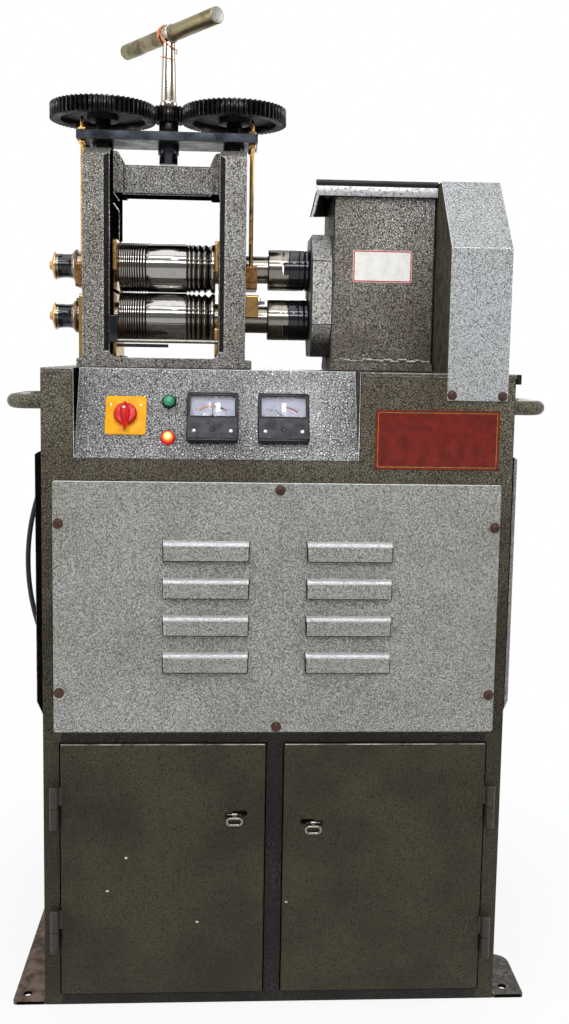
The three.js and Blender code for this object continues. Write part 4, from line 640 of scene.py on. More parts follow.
# its edges are drawn rubbed bright, partly wear and partly a painted highlight
dress("benchPlate", "top_plate", [benchHammer, rubbedEdgeAndHighlight, blackEnamel], "cabinet", "grey_hammertone",
      bevel=bench["bevel"], pick=lambda c, n: 2 if c.x > bench["side"] else 0,
      edge=lambda c, n: 2 if c.x > bench["side"] else 1, cuts=[((bench["seam"], 0, 0), (1, 0, 0))])

hinge = {"x": 317.0, "y": -233.0, "radius": 6.5, "height": 64.0, "pin": 3.4, "pinRise": 20.0, "bore": 3.9,
         "gap": 0.3, "leafEnd": 305.5, "front": 230.0, "left": (305.0, 118.0), "right": (304.0, 103.0)}


def hingeHalf(bm, side, z, profile, reach, leaf, back):
    x = side * hinge["x"]
    turned(bm, eased(profile, reach), Matrix.Translation((x, hinge["y"], 0)), 32, 1)
    inner, outer, low, high = leaf
    edges = sorted((inner, outer))
    pushed(bm, [rectangle(edges[0], edges[1], low, high, 1.2)], back, hinge["front"], alongFront, 1, 0.8)


def lowerKnuckle(bm, side, z):
    x, r, pin, low = side * hinge["x"], hinge["radius"], hinge["pin"], z - hinge["height"] / 2
    seat, tip = z - hinge["gap"], z + hinge["pinRise"]
    hingeHalf(bm, side, z, [(0, low), (r, low), (r, seat), (pin, seat), (pin, tip), (0, tip)], 0.9,
              (x - side * 2, x + side * 5, low + 2, z - 2), 224.4)


def upperKnuckle(bm, side, z):
    x, r, top = side * hinge["x"], hinge["radius"], z + hinge["height"] / 2
    seat = z + hinge["gap"]
    hingeHalf(bm, side, z, [(hinge["bore"], seat), (r, seat), (r, top - 1.6), (r - 2.2, top), (0, top)], 0.8,
              (x - side * 3, side * hinge["leafEnd"], z + 2, top - 3), door["back"])


stile = {"in": 307.0, "front": -225.2, "notch": 780.0}


def frameFinish(c, n):
    # black walls in the panel's notch as painted shade, cabinet grey above the doors, and below them brown stiles and
    # dark rails, both darkened as painted shade
    if c.z > stile["notch"] and abs(n.x) > 0.6 and cabinet["panelLeft"] - 1 < c.x < cabinet["panelRight"] + 1:
        return 4
    return 0 if c.z > cabinet["doorsTop"] else 5 if abs(c.x) > stile["in"] else 2


def frameEdge(c, n):
    # edges below the doors take the rails' dark enamel, and side facing edges are black as painted shade
    return 2 if c.z < cabinet["doorsTop"] else 4 if abs(n.x) > 0.4 else 3


bm = bmesh.new()
dressed(bm, "front_frame", 0.7, frameFinish, edge=frameEdge, drop=lambda c: c.y < stile["front"],
        cuts=[((0, 0, cabinet["doorsTop"]), (0, 0, 1)), ((-stile["in"], 0, 0), (1, 0, 0)),
              ((stile["in"], 0, 0), (1, 0, 0))])
for side, heights in ((-1, hinge["left"]), (1, hinge["right"])):
    for z in heights:
        lowerKnuckle(bm, side, z)
place("frontFrame", bm, [cabinetHammer, hingeSteel, railHammer, darkEdge, shadeBlack, doorHammer], "cabinet",
      "dark_hammertone", ["front_frame"], weighted=True)

door = {"bevel": 1.5, "back": 227.6, "face": 228.12, "hingeSide": 305.0, "middle": 19.0, "low": 20.0, "high": 394.0,
        "slot": (11.4, 10.6, 3.6, 3.3), "slotX": 49.5, "slotRise": 2.6, "pullX": 57.5, "left": 291.0, "right": 278.0}


def outerFold(v):
    # only the outer folds are rounded: the slot for the pull was punched
    return abs(v.x) > door["hingeSide"] or abs(v.x) < door["middle"] or not door["low"] <= v.z <= door["high"]


for side, which in ((-1, "left"), (1, "right")):
    bm = bmesh.new()
    # edges facing up take the pale line of painted highlight
    dressed(bm, which + "_door", door["bevel"], edge=lambda c, n: 2 if n.z > 0.35 else 0, only=outerFold,
            drop=lambda c: c.y < -228.2 and abs(c.x) > door["hingeSide"])
    x, z = side * door["slotX"], door[which] + door["slotRise"]
    left, right, high, corner = door["slot"]
    # the pull's slot is a flat black piece, a painted shade in the hole
    pushed(bm, [rectangle(x - left, x + right, z - high, z + high, corner)], door["back"], door["face"], alongFront, 3)
    for z in hinge[which]:
        upperKnuckle(bm, side, z)
    place(which + "Door", bm, [doorHammer, hingeSteel, doorTopHighlight, shadeBlack], which + "_door", "dark_hammertone",
          [which + "_door"], weighted=True)

pullRing = {"y": -227.0, "wire": 2.0, "bow": 6.0, "end": 5.0, "drop": 9.2, "stand": 4.2, "points": 24}
for side, which in ((-1, "left"), (1, "right")):
    x, z = side * door["pullX"], door[which]
    bm = bmesh.new()
    eye = Matrix.Translation((x, pullRing["y"], z)) @ alongX
    turned(bm, eased([(1.6, -4), (2.8, -4), (2.8, 4), (1.6, 4), (1.6, -4)], 0.4), eye, 24)
    turned(bm, eased([(0, -10), (1.2, -10), (1.2, 10), (0, 10)], 0.3), eye, 16)
    pushed(bm, [rectangle(x - 3.5, x + 3.5, z - 4.6, z - 0.8, 1.6)], 228.8, 232.6, alongFront, 0, 0.7)
    route = []
    for i in range(pullRing["points"]):
        angle = (i + 0.5) * 2 * math.pi / pullRing["points"]
        out = math.copysign(pullRing["bow"], math.cos(angle))
        route.append((x + out + pullRing["end"] * math.cos(angle), pullRing["y"] - pullRing["stand"],
                      z - pullRing["drop"] + pullRing["end"] * math.sin(angle)))
    bent(bm, route, pullRing["wire"], True, steps=3)
    place(which + "PullRing", bm, [turnedSteel], which + "_pull", "bare_steel", [which + "_pull"], crease=40)

# Chips of pale filler on the door faces, where the photograph shows small white scratches.
chips = {"left": [(-214.4, 226.8), (-241.8, 176.7), (-110.7, 127.5)], "right": [(19.5, 157.2)]}
for which, spots in chips.items():
    bm = bmesh.new()
    for x, z in spots:
        ragged = [(x + (2.2 + random.random()) * math.cos(i * math.pi / 4) * (0.6 if i % 2 else 1.0),
                   z + (1.2 + random.random()) * math.sin(i * math.pi / 4)) for i in range(8)]
        pushed(bm, [ragged], 227.9, 228.15, alongFront)
    place(which + "DoorChips", bm, [paleFiller], which + "_door", "dark_hammertone")

vent = {"front": -227.9, "low": 500.0, "high": 700.0, "bolt": 7.4,
        "bolts": [(1.8, 767.5), (-309.5, 717.7), (309.5, 716.4), (-309.5, 473.6), (309.5, 470.5), (0.8, 423.5)]}


def ventFinish(c, n, plain=0):
    # a louvre's upper fold is drawn paler as a painted highlight, and it is dark brown below and at its ends as painted
    # shade
    if c.y < vent["front"] and vent["low"] < c.z < vent["high"]:
        return 1 if n.z > 0.42 else 3 if n.z < -0.3 or abs(n.x) > 0.3 else 0
    return plain


# the cover's upward edges are drawn paler as a painted highlight
dress("ventCover", "vent_cover", [silverHammer, silverFoldHighlight, blackEnamel, louvreShade], "cabinet", "silver_hammertone",
      bevel=1.3, sharpest=40, pick=lambda c, n: 2 if c.y > -227.4 and n.y > 0.3 else ventFinish(c, n),
      edge=lambda c, n: ventFinish(c, n, 1 if n.z > 0.35 else 0))


def boltHeads(name, spots, face, profile, ease, segments):
    bm = bmesh.new()
    for x, z in spots:
        turned(bm, eased(profile, ease), Matrix.Translation((x, face, z)) @ alongFront, segments)
    place(name, bm, [boltSteel], "cabinet", "rusty_steel", crease=40)


r = vent["bolt"]
boltHeads("ventBolts", vent["bolts"], -227.8,
          [(0, 0), (r, 0), (r, 1.0), (r - 1.2, 1.3), (r - 1.3, 2.2), (r - 2.4, 3.9), (2.4, 4.7), (0, 4.8)], 0.5, 32)

lift = {"radius": 10.4, "root": 333.4, "side": 333.0, "reach": 44.0, "bend": 22.0, "front": -200.0, "back": -80.0,
        "z": 887.0, "bead": 12.2, "beadSize": 1.5, "beadOut": 1.2}


def liftRoute():
    # out from the side, round a bend, along and back in
    bend, turnX = lift["bend"], lift["side"] + lift["reach"] - lift["bend"]
    stub = [lift["root"], 341, 355]
    route = [(x, lift["front"]) for x in stub]
    for k in range(1, 6):
        angle = math.radians(k * 18 - 90)
        route.append((turnX + bend * math.cos(angle), lift["front"] + bend * (1 + math.sin(angle))))
    route.append((lift["side"] + lift["reach"], (lift["front"] + lift["back"]) / 2))
    for k in range(5):
        angle = math.radians(k * 18)
        route.append((turnX + bend * math.cos(angle), lift["back"] - bend * (1 - math.sin(angle))))
    return route + [(x, lift["back"]) for x in reversed(stub)]


for side, which in ((-1, "left"), (1, "right")):
    bm = bmesh.new()
    bent(bm, [(side * x, y, lift["z"]) for x, y in liftRoute()], lift["radius"], steps=4, sides=6)
    for y in (lift["front"], lift["back"]):
        weld = [(side * (333.3 + lift["beadOut"]), y + v, lift["z"] + w) for v, w in circle(lift["bead"], count=20)]
        bent(bm, weld, lift["beadSize"], True, steps=2, sides=2)
    place(which + "LiftLoop", bm, [cabinetHammer], "cabinet", "dark_hammertone", [which + "_lift_handle"], crease=40)

# Behind its bright face each side cover's folded rim is in black shade.
sideCover = {"left": -345.5, "right": 341.3}
for which, split in sideCover.items():
    dress(which + "SideCover", which + "_side_cover", [silverHammer, shadeBlack], "cabinet", "silver_hammertone",
          crease=40, bevel=0.5, cuts=[((split, 0, 0), (1, 0, 0))],
          pick=lambda c, n: 1 if n.x * c.x < -0.05 or abs(c.x) < abs(split) and abs(n.y) > 0.5 else 0)

lead = {"radius": 3.75, "y": -100.0, "face": -346.0, "middle": 638.0, "arc": 337.5, "bulge": 29.5, "reach": 0.4092,
        "points": 33}
bm = bmesh.new()
route = []
for k in range(lead["points"]):
    angle = (2 * k / (lead["points"] - 1) - 1) * lead["reach"]
    route.append((lead["face"] + lead["arc"] - lead["bulge"] - lead["arc"] * math.cos(angle), lead["y"],
                  lead["middle"] + lead["arc"] * math.sin(angle)))
bent(bm, route, lead["radius"], steps=2, sides=5)
place("sideLead", bm, [leadVinyl], "cabinet", "rubber", ["side_lead"], crease=40)
print("cabinet made")

# Control panel with its meters, lamps and switch.

panel = {"left": -286.5, "right": 110.4, "front": -224.5}


def panelFinish(c, n, plain=0):
    # its left cheek is in the frame's shade, and the right one is rusty
    if c.y <= panel["front"]:
        return plain
    return 3 if c.x < panel["left"] else 1 if c.x > panel["right"] else plain


# the panel's front edges are drawn paler as a painted highlight
dress("controlPanel", "control_panel", [panelHammer, rustySteel, silverFoldHighlight, shadeBlack], "cabinet",
      "silver_hammertone", bevel=0.9, pick=panelFinish, edge=lambda c, n: panelFinish(c, n, 2))

meter = {"size": 73.0, "corner": 3.5, "deep": 12.0, "z": 865.0, "volt": -95.0, "amp": 5.6, "arc": 30.0,
         "arcCentre": -11.0, "arcWidth": 2.3, "screws": [(-26.0, -21.5), (26.0, -21.5)], "adjust": -18.4,
         "divisions": 8, "division": 5.2, "lineHalf": 0.22}


def arcBand(bm, start, stop, radius, centre, matrix, material, count=14):
    spots = [math.radians(start + (stop - start) * k / count) for k in range(count + 1)]
    outline = [(radius * math.sin(a), centre + radius * math.cos(a)) for a in spots]
    inner = radius - meter["arcWidth"]
    outline += [(inner * math.sin(a), centre + inner * math.cos(a)) for a in reversed(spots)]
    pushed(bm, [outline], 4.15, 4.3, matrix, material)


def divisionLines(bm, at):
    # above the coloured arc, long at every fourth
    low, w = meter["arcCentre"], meter["lineHalf"]
    for k in range(-meter["divisions"], meter["divisions"] + 1):
        angle = math.radians(k * meter["division"])
        a = meter["arc"] + 0.9
        b = a + (1.8 if k % 4 else 3.2)
        s, c = math.sin(angle), math.cos(angle)
        outline = [(a * s - w * c, low + a * c + w * s), (a * s + w * c, low + a * c - w * s),
                   (b * s + w * c, low + b * c - w * s), (b * s - w * c, low + b * c + w * s)]
        pushed(bm, [outline], 4.12, 4.22, at, 5)


def meterPiece(which, colours):
    at = onPanel(meter[which], meter["z"])
    half, deep = meter["size"] / 2, meter["deep"]
    case = rectangle(-half, half, -half, half, meter["corner"])
    bm = bmesh.new()
    pushed(bm, [case], 0.3, 4.0, at, 0, 0.3)
    pushed(bm, [case, rectangle(-31.5, 31.5, 1.2, 31.2, 1.0)], 3.4, deep, at, 0, 0.8)
    pushed(bm, [rectangle(-half + 1.6, half - 1.6, -half + 4.5, -1.6, 1.2)], deep - 0.6, deep + 0.5, at, 1, 0.3)
    turned(bm, [(0, -26), (24.4, -26), (24.4, 1), (0, 1)], at, 48)
    pushed(bm, [rectangle(-31.5, 31.5, 1.2, 31.2)], 3.9, 4.1, at, 2)
    for start, stop, ink in colours:
        arcBand(bm, start, stop, meter["arc"], meter["arcCentre"], at, ink)
    divisionLines(bm, at)
    for u, v in meter["screws"]:
        turned(bm, eased([(0, 12.3), (2.9, 12.3), (2.9, 13.1), (1.6, 14.0), (0, 14.1)], 0.3),
               at @ Matrix.Translation((u, v, 0)), 20, 6)
    adjust = at @ Matrix.Translation((0, meter["adjust"], 0))
    turned(bm, eased([(4.2, 12.4), (4.2, 13.3), (3.5, 13.3), (3.5, 12.75), (0, 12.75)], 0.2), adjust, 28, 0)
    pushed(bm, [rectangle(-3.0, 3.0, -0.45, 0.45)], 12.6, 13.15, adjust @ Matrix.Rotation(math.radians(38), 4, "Z"), 0)
    place(which + "Meter", bm, [blackAbs, meterAbs, dialCard, orangeInk, redInk, darkInk, zincSteel], "cabinet",
          "black_plastic", [which + "_meter"])
    bm = bmesh.new()
    pushed(bm, [rectangle(-31.4, 31.4, 1.3, 31.1, 0.9)], 10.2, 11.2, at, 0, 0.15)
    place(which + "MeterWindow", bm, [clearAcrylic], "cabinet", "black_plastic")


meterPiece("volt", [(-40, 12, 3), (12, 30, 5), (30, 40, 4)])
meterPiece("amp", [(-40, -30, 3), (-8, 4, 5), (4, 42, 4)])

needle = {"length": 16.5, "tail": -2.5, "root": 0.55, "tip": 0.28, "pivot": 2.0, "volt": 0, "amp": 45}
for which in ("volt", "amp"):
    at = onPanel(meter[which], meter["z"]) @ Matrix.Translation((0, needle["pivot"], 0)) @ \
        Matrix.Rotation(math.radians(needle[which]), 4, "Z")
    bm = bmesh.new()
    root, tip = needle["root"], needle["tip"]
    outline = [(-root, needle["tail"]), (root, needle["tail"]), (tip, needle["length"]), (-tip, needle["length"])]
    pushed(bm, [outline], 6.0, 6.6, at)
    turned(bm, eased([(0, 5.3), (2.6, 5.3), (2.6, 7.4), (0, 7.6)], 0.4), at, 28)
    place(which + "Needle", bm, [blackEnamel], which + "_needle", "black_paint", [which + "_needle"])

lamp = {"bezel": 10.4, "lens": 8.4, "barrel": 7.0, "green": (-157.2, 888.0), "red": redLamp}
for which, bezel, lens in (("green", blackAbs, greenLens), ("red", redAbs, redLit)):
    at = onPanel(*lamp[which])
    bm = bmesh.new()
    b, l, r = lamp["bezel"], lamp["lens"], lamp["barrel"]
    turned(bm, eased([(0, -18), (r, -18), (r, 0.3), (b, 0.3), (b, 3.4), (b - 1.2, 5.2), (l, 5.4), (l, 4.0), (0, 4.0)],
                     0.5), at, 40, 0)
    turned(bm, eased([(0, 3.9), (l - 0.1, 3.9), (l - 0.3, 6.5), (l - 1.6, 10.0), (l - 4.4, 12.3), (0, 13.0)], 1.2, 3),
           at, 40, 1)
    place(which + "Lamp", bm, [bezel, lens], "cabinet", which + "_lens", [which + "_lamp"], crease=45)

switch = {"x": -217.6, "z": 868.4, "half": 28.75, "corner": 4.5, "disc": 16.4}
at = onPanel(switch["x"], switch["z"])
bm = bmesh.new()
half = switch["half"]
pushed(bm, [rectangle(-half, half, -half, half, switch["corner"])], 0.3, 2.6, at, 0, 0.7)
pushed(bm, [rectangle(-half + 1.6, half - 1.6, -half + 1.6, half - 1.6, 3.4)], 2.2, 3.0, at, 0, 0.3)
turned(bm, eased([(3.6, 2), (11, 2), (11, 6), (3.6, 6), (3.6, -14), (7, -14), (7, 1)], 0.4), at, 40)
for u, v in ((-21.5, 15.5), (20.5, 15.0)):
    turned(bm, eased([(0, 2.6), (1.5, 2.6), (1.5, 3.3), (0, 3.4)], 0.2), at @ Matrix.Translation((u, v, 0)), 16, 1)
place("switchPlate", bm, [yellowAbs, zincSteel], "cabinet", "yellow_plastic", ["switch_plate"])

bm = bmesh.new()
d = switch["disc"]
turned(bm, eased([(0, -5), (3, -5), (3, 6.5), (d, 6.5), (d, 10.5), (d - 1.8, 14.2), (0, 15.0)], 1.0, 3), at, 56)
# The grip narrows and slopes as it rises, with its pointer's nose lowest.
outline = [(0, 16.4), (2.6, 12.5), (4.6, 9.0), (6.6, 4.0), (7.0, 0), (6.4, -6.0), (4.6, -14.0), (2.2, -22.0),
           (0, -27.4)]
outline += [(-u, v) for u, v in reversed(outline[1:-1])]
levels = [(1.0, 12.0, 0.0), (0.97, 18.0, 0.06), (0.72, 21.6, 0.264), (0.34, 23.2, 0.36)]
rings = [[bm.verts.new(at @ Vector((u * grow, v * (0.5 + grow / 2), w - max(-v - 6, 0) * slope)))
          for u, v in outline] for grow, w, slope in levels]
for lowRing, highRing in zip(rings, rings[1:]):
    for i in range(len(outline)):
        j = (i + 1) % len(outline)
        bm.faces.new((lowRing[i], lowRing[j], highRing[j], highRing[i]))
bm.faces.new(rings[-1])
turned(bm, eased([(0, 22.4), (2.3, 22.4), (2.3, 24.0), (0, 24.0)], 0.3), at @ Matrix.Translation((-1.2, 4.5, 0)), 20, 1)
place("switchKnob", bm, [redAbs, milledFace], "switch_knob", "red_plastic", ["switch_knob"], crease=38)


def inset(sheet, by, corner):
    return rectangle(sheet["left"] + by, sheet["right"] - by, sheet["low"] + by, sheet["high"] - by, corner)


redPlate = {"left": 134.6, "right": 311.7, "low": 798.5, "high": 883.0}
bm = bmesh.new()
pushed(bm, [inset(redPlate, 0, 2.0)], 224.9, 226.2, alongFront, 0, 0.3)
pushed(bm, [inset(redPlate, 3.2, 1.5), inset(redPlate, 4.2, 1.0)], 226.1, 226.35, alongFront, 1)
place("barePlate", bm, [plateEnamel, goldLine], "cabinet", "red_plastic")
print("panel made")

# Mill head: frame, rolls, screws and gears.

mx, my = mill["x"], mill["y"]
housing = {"inner": 88.0, "window": 118.0, "windowLow": 949.0, "windowTop": 1199.0, "floor": 951.0,
           "crossbar": 66.0, "crossbarLow": 1190.0, "windowEdge": 84.5, "front": -129.5, "flare": 4.5}


def frameTone(c, n):
    # black inside the windows and dark glossy enamel beside their fronts, both painted shade, and a second coat on the
    # cross bar
    away = abs(c.x - mx)
    if away < housing["inner"] and c.z > housing["floor"] and abs(n.x) > 0.35 and n.x * (c.x - mx) < 0:
        return 3 if abs(n.y) > 0.3 and c.y < 0 else 1
    if away < housing["window"] and housing["windowLow"] < c.z < housing["windowTop"] \
            and (n.z < -0.5 or abs(c.y - my) < 49 and abs(n.y) > 0.5):
        return 1
    return 2 if away < housing["crossbar"] and c.z > housing["crossbarLow"] else 0


def openFrame(v):
    # the window's front edges are chamfered wider than the solid's
    if v.y < housing["front"] and abs(abs(v.x - mx) - housing["windowEdge"]) < 0.8 and v.z > 955:
        return Vector((v.x + math.copysign(housing["flare"], v.x - mx), v.y, v.z))
    return v


dress("millFrame", "mill_frame", [greyHammer, shadeBlack, barHammer, insideHammer], "cabinet", "grey_hammertone",
      bevel=1.4, pick=frameTone, edge=2, shape=openFrame)

bearing = {"bevel": 0.8, "inner": 79.85, "outer": 119.9, "flange": 76.5, "flangeIn": 73.5}
rods = {"x": 128.0, "y": 27.0, "radius": 3.0, "low": 1090.0, "drop": 1093.0, "tip": 1310.1, "nut": 6.0}


def bearingTone(outside):
    # milled inside the housing, as it came or painted outside, and black in the window
    return lambda c, n: 1 if abs(c.x - mx) < bearing["inner"] else 2 if outside(c) else 0


def thickFlange(v):
    if abs(abs(v.x - mx) - bearing["flange"]) < 0.4:
        return Vector((mx + math.copysign(bearing["flangeIn"], v.x - mx), v.y, v.z))
    return v


for side, which in ((-1, "left"), (1, "right")):
    bm = bmesh.new()
    dressed(bm, "upper_" + which + "_bearing", bearing["bevel"],
            bearingTone(lambda c: abs(c.x - mx) > bearing["outer"]), edge=2, shape=thickFlange,
            drop=lambda c: abs(abs(c.x - mx) - rods["x"]) < 7 and c.z > rods["drop"])
    for y in (my - rods["y"], my + rods["y"]):
        at = Matrix.Translation((mx + side * rods["x"], y, 0))
        r, tip = rods["radius"], rods["tip"]
        turned(bm, eased([(0, rods["low"]), (r, rods["low"]), (r, tip - 5), (0.8, tip), (0, tip)], 0.4), at, 24, 3)
        for low in (mill["plateTop"] + 0.3, mill["plate"] - 5.5):
            pushed(bm, [circle(rods["nut"], count=6, turn=0.3)], low, low + 5.2, at, 3, 0.6)
    place(which + "UpperBearing", bm, [blackOxide, milledBronze, castBronze, turnedBrass], "bridge", "bronze",
          ["upper_" + which + "_bearing"], weighted=True)

for which, outside in (("left", lambda c: c.x < -288.9), ("right", lambda c: c.x > -49.4)):
    bm = bmesh.new()
    dressed(bm, "lower_" + which + "_bearing", bearing["bevel"], bearingTone(outside), edge=2, shape=thickFlange)
    if which == "left":   # four screws hold its brass plate, and a bolt passes through the right one
        for y, z in ((-75.5, 1038), (9.5, 1038), (-75.5, 945), (9.5, 945)):
            pushed(bm, [circle(4.6, y, z, 6)], -304.0, -300.0, alongX, 3, 0.6)
    else:
        turned(bm, eased([(0, -30), (7, -30), (7, -27), (5.4, -26), (5.4, -20), (0, -20)], 0.5),
               Matrix.Translation((0, -82, 1038)) @ alongX, 6, 3)
    place(which + "LowerBearing", bm, [blackOxide, milledBronze, turnedBrass, zincSteel], "cabinet", "brass",
          ["lower_" + which + "_bearing"], weighted=True)

roll = {"radius": 38.0, "half": 73.2, "fine": 12, "first": 2.0, "grow": 0.2, "coarse": (4.2, 5.2, 6.6, 8.0, 9.6)}


def rollProfile():
    r, h = roll["radius"], roll["half"]
    points = [(0, -167.5), (13.5, -167.5), (15, -165.5), (15, -137.5), (21.5, -137.5), (21.5, -119.5),
              (23.5, -119.5), (23.5, -h), (r - 1, -h, 2), (r, -h + 1, 0)]
    x = -h + 1.4
    for i in range(roll["fine"]):
        wide = roll["first"] + roll["grow"] * i
        points += [(r, x + wide * 0.3, 0), (r - wide * 0.28, x + wide * 0.6, 1), (r - wide * 0.28, x + wide * 0.66, 1),
                   (r, x + wide * 0.96, 0)]
        x += wide + 0.35
    x = h - 44.0
    points.append((r, x, 0))
    for width in roll["coarse"]:
        points += [(r - width * 0.3, x + width * 0.3, 0), (r - width / 2, x + width / 2, 1),
                   (r - width * 0.3, x + width * 0.7, 1), (r, x + width, 0), (r, x + width + 1.3, 0)]
        x += width + 1.3
    points += [(r, h - 1, 0), (r - 1, h, 0), (23.5, h, 2), (23.5, 119.5, 2), (21.5, 119.5, 2), (21.5, 154.4, 2),
               (30.5, 154.4, 2), (32, 155.9, 2), (32, 176.9, 2), (0, 176.9, 2)]
    return [(p[0], p[1] + mx, p[2] if len(p) > 2 else 2) for p in points]


def halfRound(radius, width, angle, upper, count=28):
    # the part of a round bar left above or below a slot
    start = math.asin(width / 2 / radius)
    spots = [start + (math.pi - 2 * start) * k / count for k in range(count + 1)]
    turn = math.radians(angle) + (0 if upper else math.pi)
    return [(radius * math.cos(a + turn), radius * math.sin(a + turn)) for a in spots]


def tongue(radius, width, angle, count=10):
    reach = math.asin(width / 2 / radius)
    spots = [-reach + 2 * reach * k / count for k in range(count + 1)]
    spots += [math.pi + a for a in spots]
    turn = math.radians(angle)
    return [(radius * math.cos(a + turn), radius * math.sin(a + turn)) for a in spots]


coupling = {"radius": 32.0, "slot": 19.0, "wideSlot": 28.6, "tongue": 18.4, "tongueRadius": 31.6, "tongueReach": 8.0,
            "roll": 176.4, "rollEnd": 187.2, "disc": 187.5, "discEnd": 202.3, "hub": 202.6, "hubEnd": 219.2}
shafts = {"upper": (mill["upperAxis"], 0), "lower": (mill["lowerAxis"], 34)}


def slottedEnd(bm, z, angle, slot, start, end, material):
    for upper in (True, False):
        pushed(bm, [halfRound(coupling["radius"], slot, angle, upper)], start, end, axisAt(z), material, 0.6)


for which, (z, angle) in shafts.items():
    bm = bmesh.new()
    turned(bm, eased(rollProfile(), 0.2, 1), axisAt(z), 96)
    slottedEnd(bm, z, angle, coupling["slot"], mx + coupling["roll"], mx + coupling["rollEnd"], 2)
    place(which + "Roll", bm, [rollSteel, rollGroove, turnedSteel], which + "_roll", "ground_steel",
          [which + "_roll"], crease=28)

for which, (z, angle) in shafts.items():
    bm = bmesh.new()
    r, start, end = coupling["radius"], mx + coupling["disc"], mx + coupling["discEnd"]
    turned(bm, eased([(0, start), (r, start), (r, end), (0, end)], 0.8, 3), axisAt(z), 72)
    for turn, low, high in ((angle, start - coupling["tongueReach"], start + 1.5),
                            (angle + 90, end - 1.5, end + coupling["tongueReach"])):
        pushed(bm, [tongue(coupling["tongueRadius"], coupling["tongue"], turn)], low, high, axisAt(z), 0, 0.5)
    place(which + "Disc", bm, [blackOxide], which + "_roll", "black_oxide", [which + "_disc"])

for which, (z, angle) in shafts.items():
    bm = bmesh.new()
    r, start, end = coupling["radius"], mx + coupling["hub"], mx + coupling["hubEnd"]
    turned(bm, eased([(0, start + 9.5), (r, start + 9.5), (r, end - 1.2), (r - 1.2, end), (20, end), (20, end + 26),
                      (0, end + 26)], 0.6), axisAt(z), 72)
    slot = coupling["wideSlot" if which == "upper" else "slot"]
    slottedEnd(bm, z, angle + 90, slot, start, start + 10, 0)
    place(which + "OutputHub", bm, [blackOxide], "upper_output" if which == "upper" else "lower_roll", "black_oxide",
          [which + "_output_hub"])

endNut = {"start": -138.0, "flats": 16.2}
for which, (z, angle) in shafts.items():
    x = mx + endNut["start"]
    # washer, ring, waisted black sleeve, steel ring and the brass cap with its bolt
    profile = [(15.5, x), (25.5, x, 2), (25, x - 3, 2), (23, x - 6, 1), (19.6, x - 6.3, 1), (19.6, x - 8.6, 1),
               (18.6, x - 8.7, 0), (17.9, x - 18, 0), (18.6, x - 28.6, 0), (19.2, x - 28.7, 1), (19.2, x - 32.4, 1),
               (21.2, x - 32.5, 3), (21.2, x - 35, 3), (19.6, x - 36.6, 3), (13, x - 38.4, 3), (8.4, x - 40.4, 3),
               (0, x - 40.5, 3)]
    bm = bmesh.new()
    turned(bm, eased(profile, 0.5, 2), axisAt(z), 64)
    turned(bm, eased([(0, x - 40), (7.2, x - 40), (7.2, x - 42.6), (5.6, x - 43.7), (0, x - 43.8)], 0.3, 1),
           axisAt(z), 6, 3)
    if which == "lower":   # its sleeve has two flats for a spanner
        for v in bm.verts:
            if x - 27 < v.co.x < x - 10:
                v.co.y = min(max(v.co.y, my - endNut["flats"]), my + endNut["flats"])
    place(which + "EndNut", bm, [blackOxide, turnedSteel, castBronze, turnedBrass], which + "_roll", "brass",
          [which + "_end_nut"])

dress("screwPlate", "screw_plate", [bluedPlate, darkEdge], "bridge", "blued_plate", bevel=1.2, edge=1, sharpest=50)


def ridges(radius, low, high, pitch=4.0, deep=1.3):
    # a trapezoid thread drawn as rings, which is how it looks at this size
    points = []
    z = low
    while z < high - pitch:
        points += [(radius, z), (radius, z + pitch * 0.35), (radius - deep, z + pitch * 0.5),
                   (radius - deep, z + pitch * 0.85)]
        z += pitch
    return points


screw = {"thread": 14.0, "collar": 16.5, "neck": 10.7, "seat": 12.0, "shank": 9.7, "nut": 16.0}
for side, which in ((-1, "left"), (1, "right")):
    bm = bmesh.new()
    at = Matrix.Translation((mx + side * mill["gearAt"], my, 0))
    thread, collar, neck, seat, shank = (screw[k] for k in ("thread", "collar", "neck", "seat", "shank"))
    profile = [(0, 1124.9), (10, 1124.9), (12, 1128.9)] + ridges(thread, 1131, 1256)
    profile += [(thread, 1258.6), (collar, 1259), (collar, 1273.7), (neck, 1273.7), (neck, 1287.7), (seat, 1287.7),
                (seat, 1307.3), (shank, 1307.3), (shank, 1339), (8.7, 1340), (0, 1340)]
    turned(bm, eased(profile, 0.4, 1), at, 40)
    pushed(bm, [circle(screw["nut"], count=6, turn=0.25)], 1330.3, 1338, at, 0, 0.8)
    place(which + "Screw", bm, [oiledGear], which + "_gear", "black_oxide", [which + "_screw"])

gear = {"module": 2.5, "teeth": 62, "pinionTeeth": 18, "backlash": 0.35, "steps": 6, "web": 63.8, "hub": 24.0,
        "webRise": 8.0, "pressure": 20.0, "pinionBore": 8.3}


def toothedOutline(teeth, startAngle):
    module = gear["module"]
    pitch = module * teeth / 2
    tip, root = pitch + module, pitch - 1.25 * module
    base = pitch * math.cos(math.radians(gear["pressure"]))

    def involute(radius):
        angle = math.acos(min(1.0, base / max(radius, base)))
        return math.tan(angle) - angle

    thin = gear["backlash"] / 4 / pitch
    radii = [root + (tip - root) * k / (gear["steps"] - 1) for k in range(gear["steps"])]
    flank = [(r, math.pi / (2 * teeth) + involute(pitch) - involute(r) - thin) for r in radii]
    points = []
    for tooth in range(teeth):
        middle = math.radians(startAngle) + tooth * 2 * math.pi / teeth
        for r, angle in [(r, middle - a) for r, a in flank] + [(r, middle + a) for r, a in reversed(flank)]:
            points.append((r * math.cos(angle), r * math.sin(angle)))
    return points


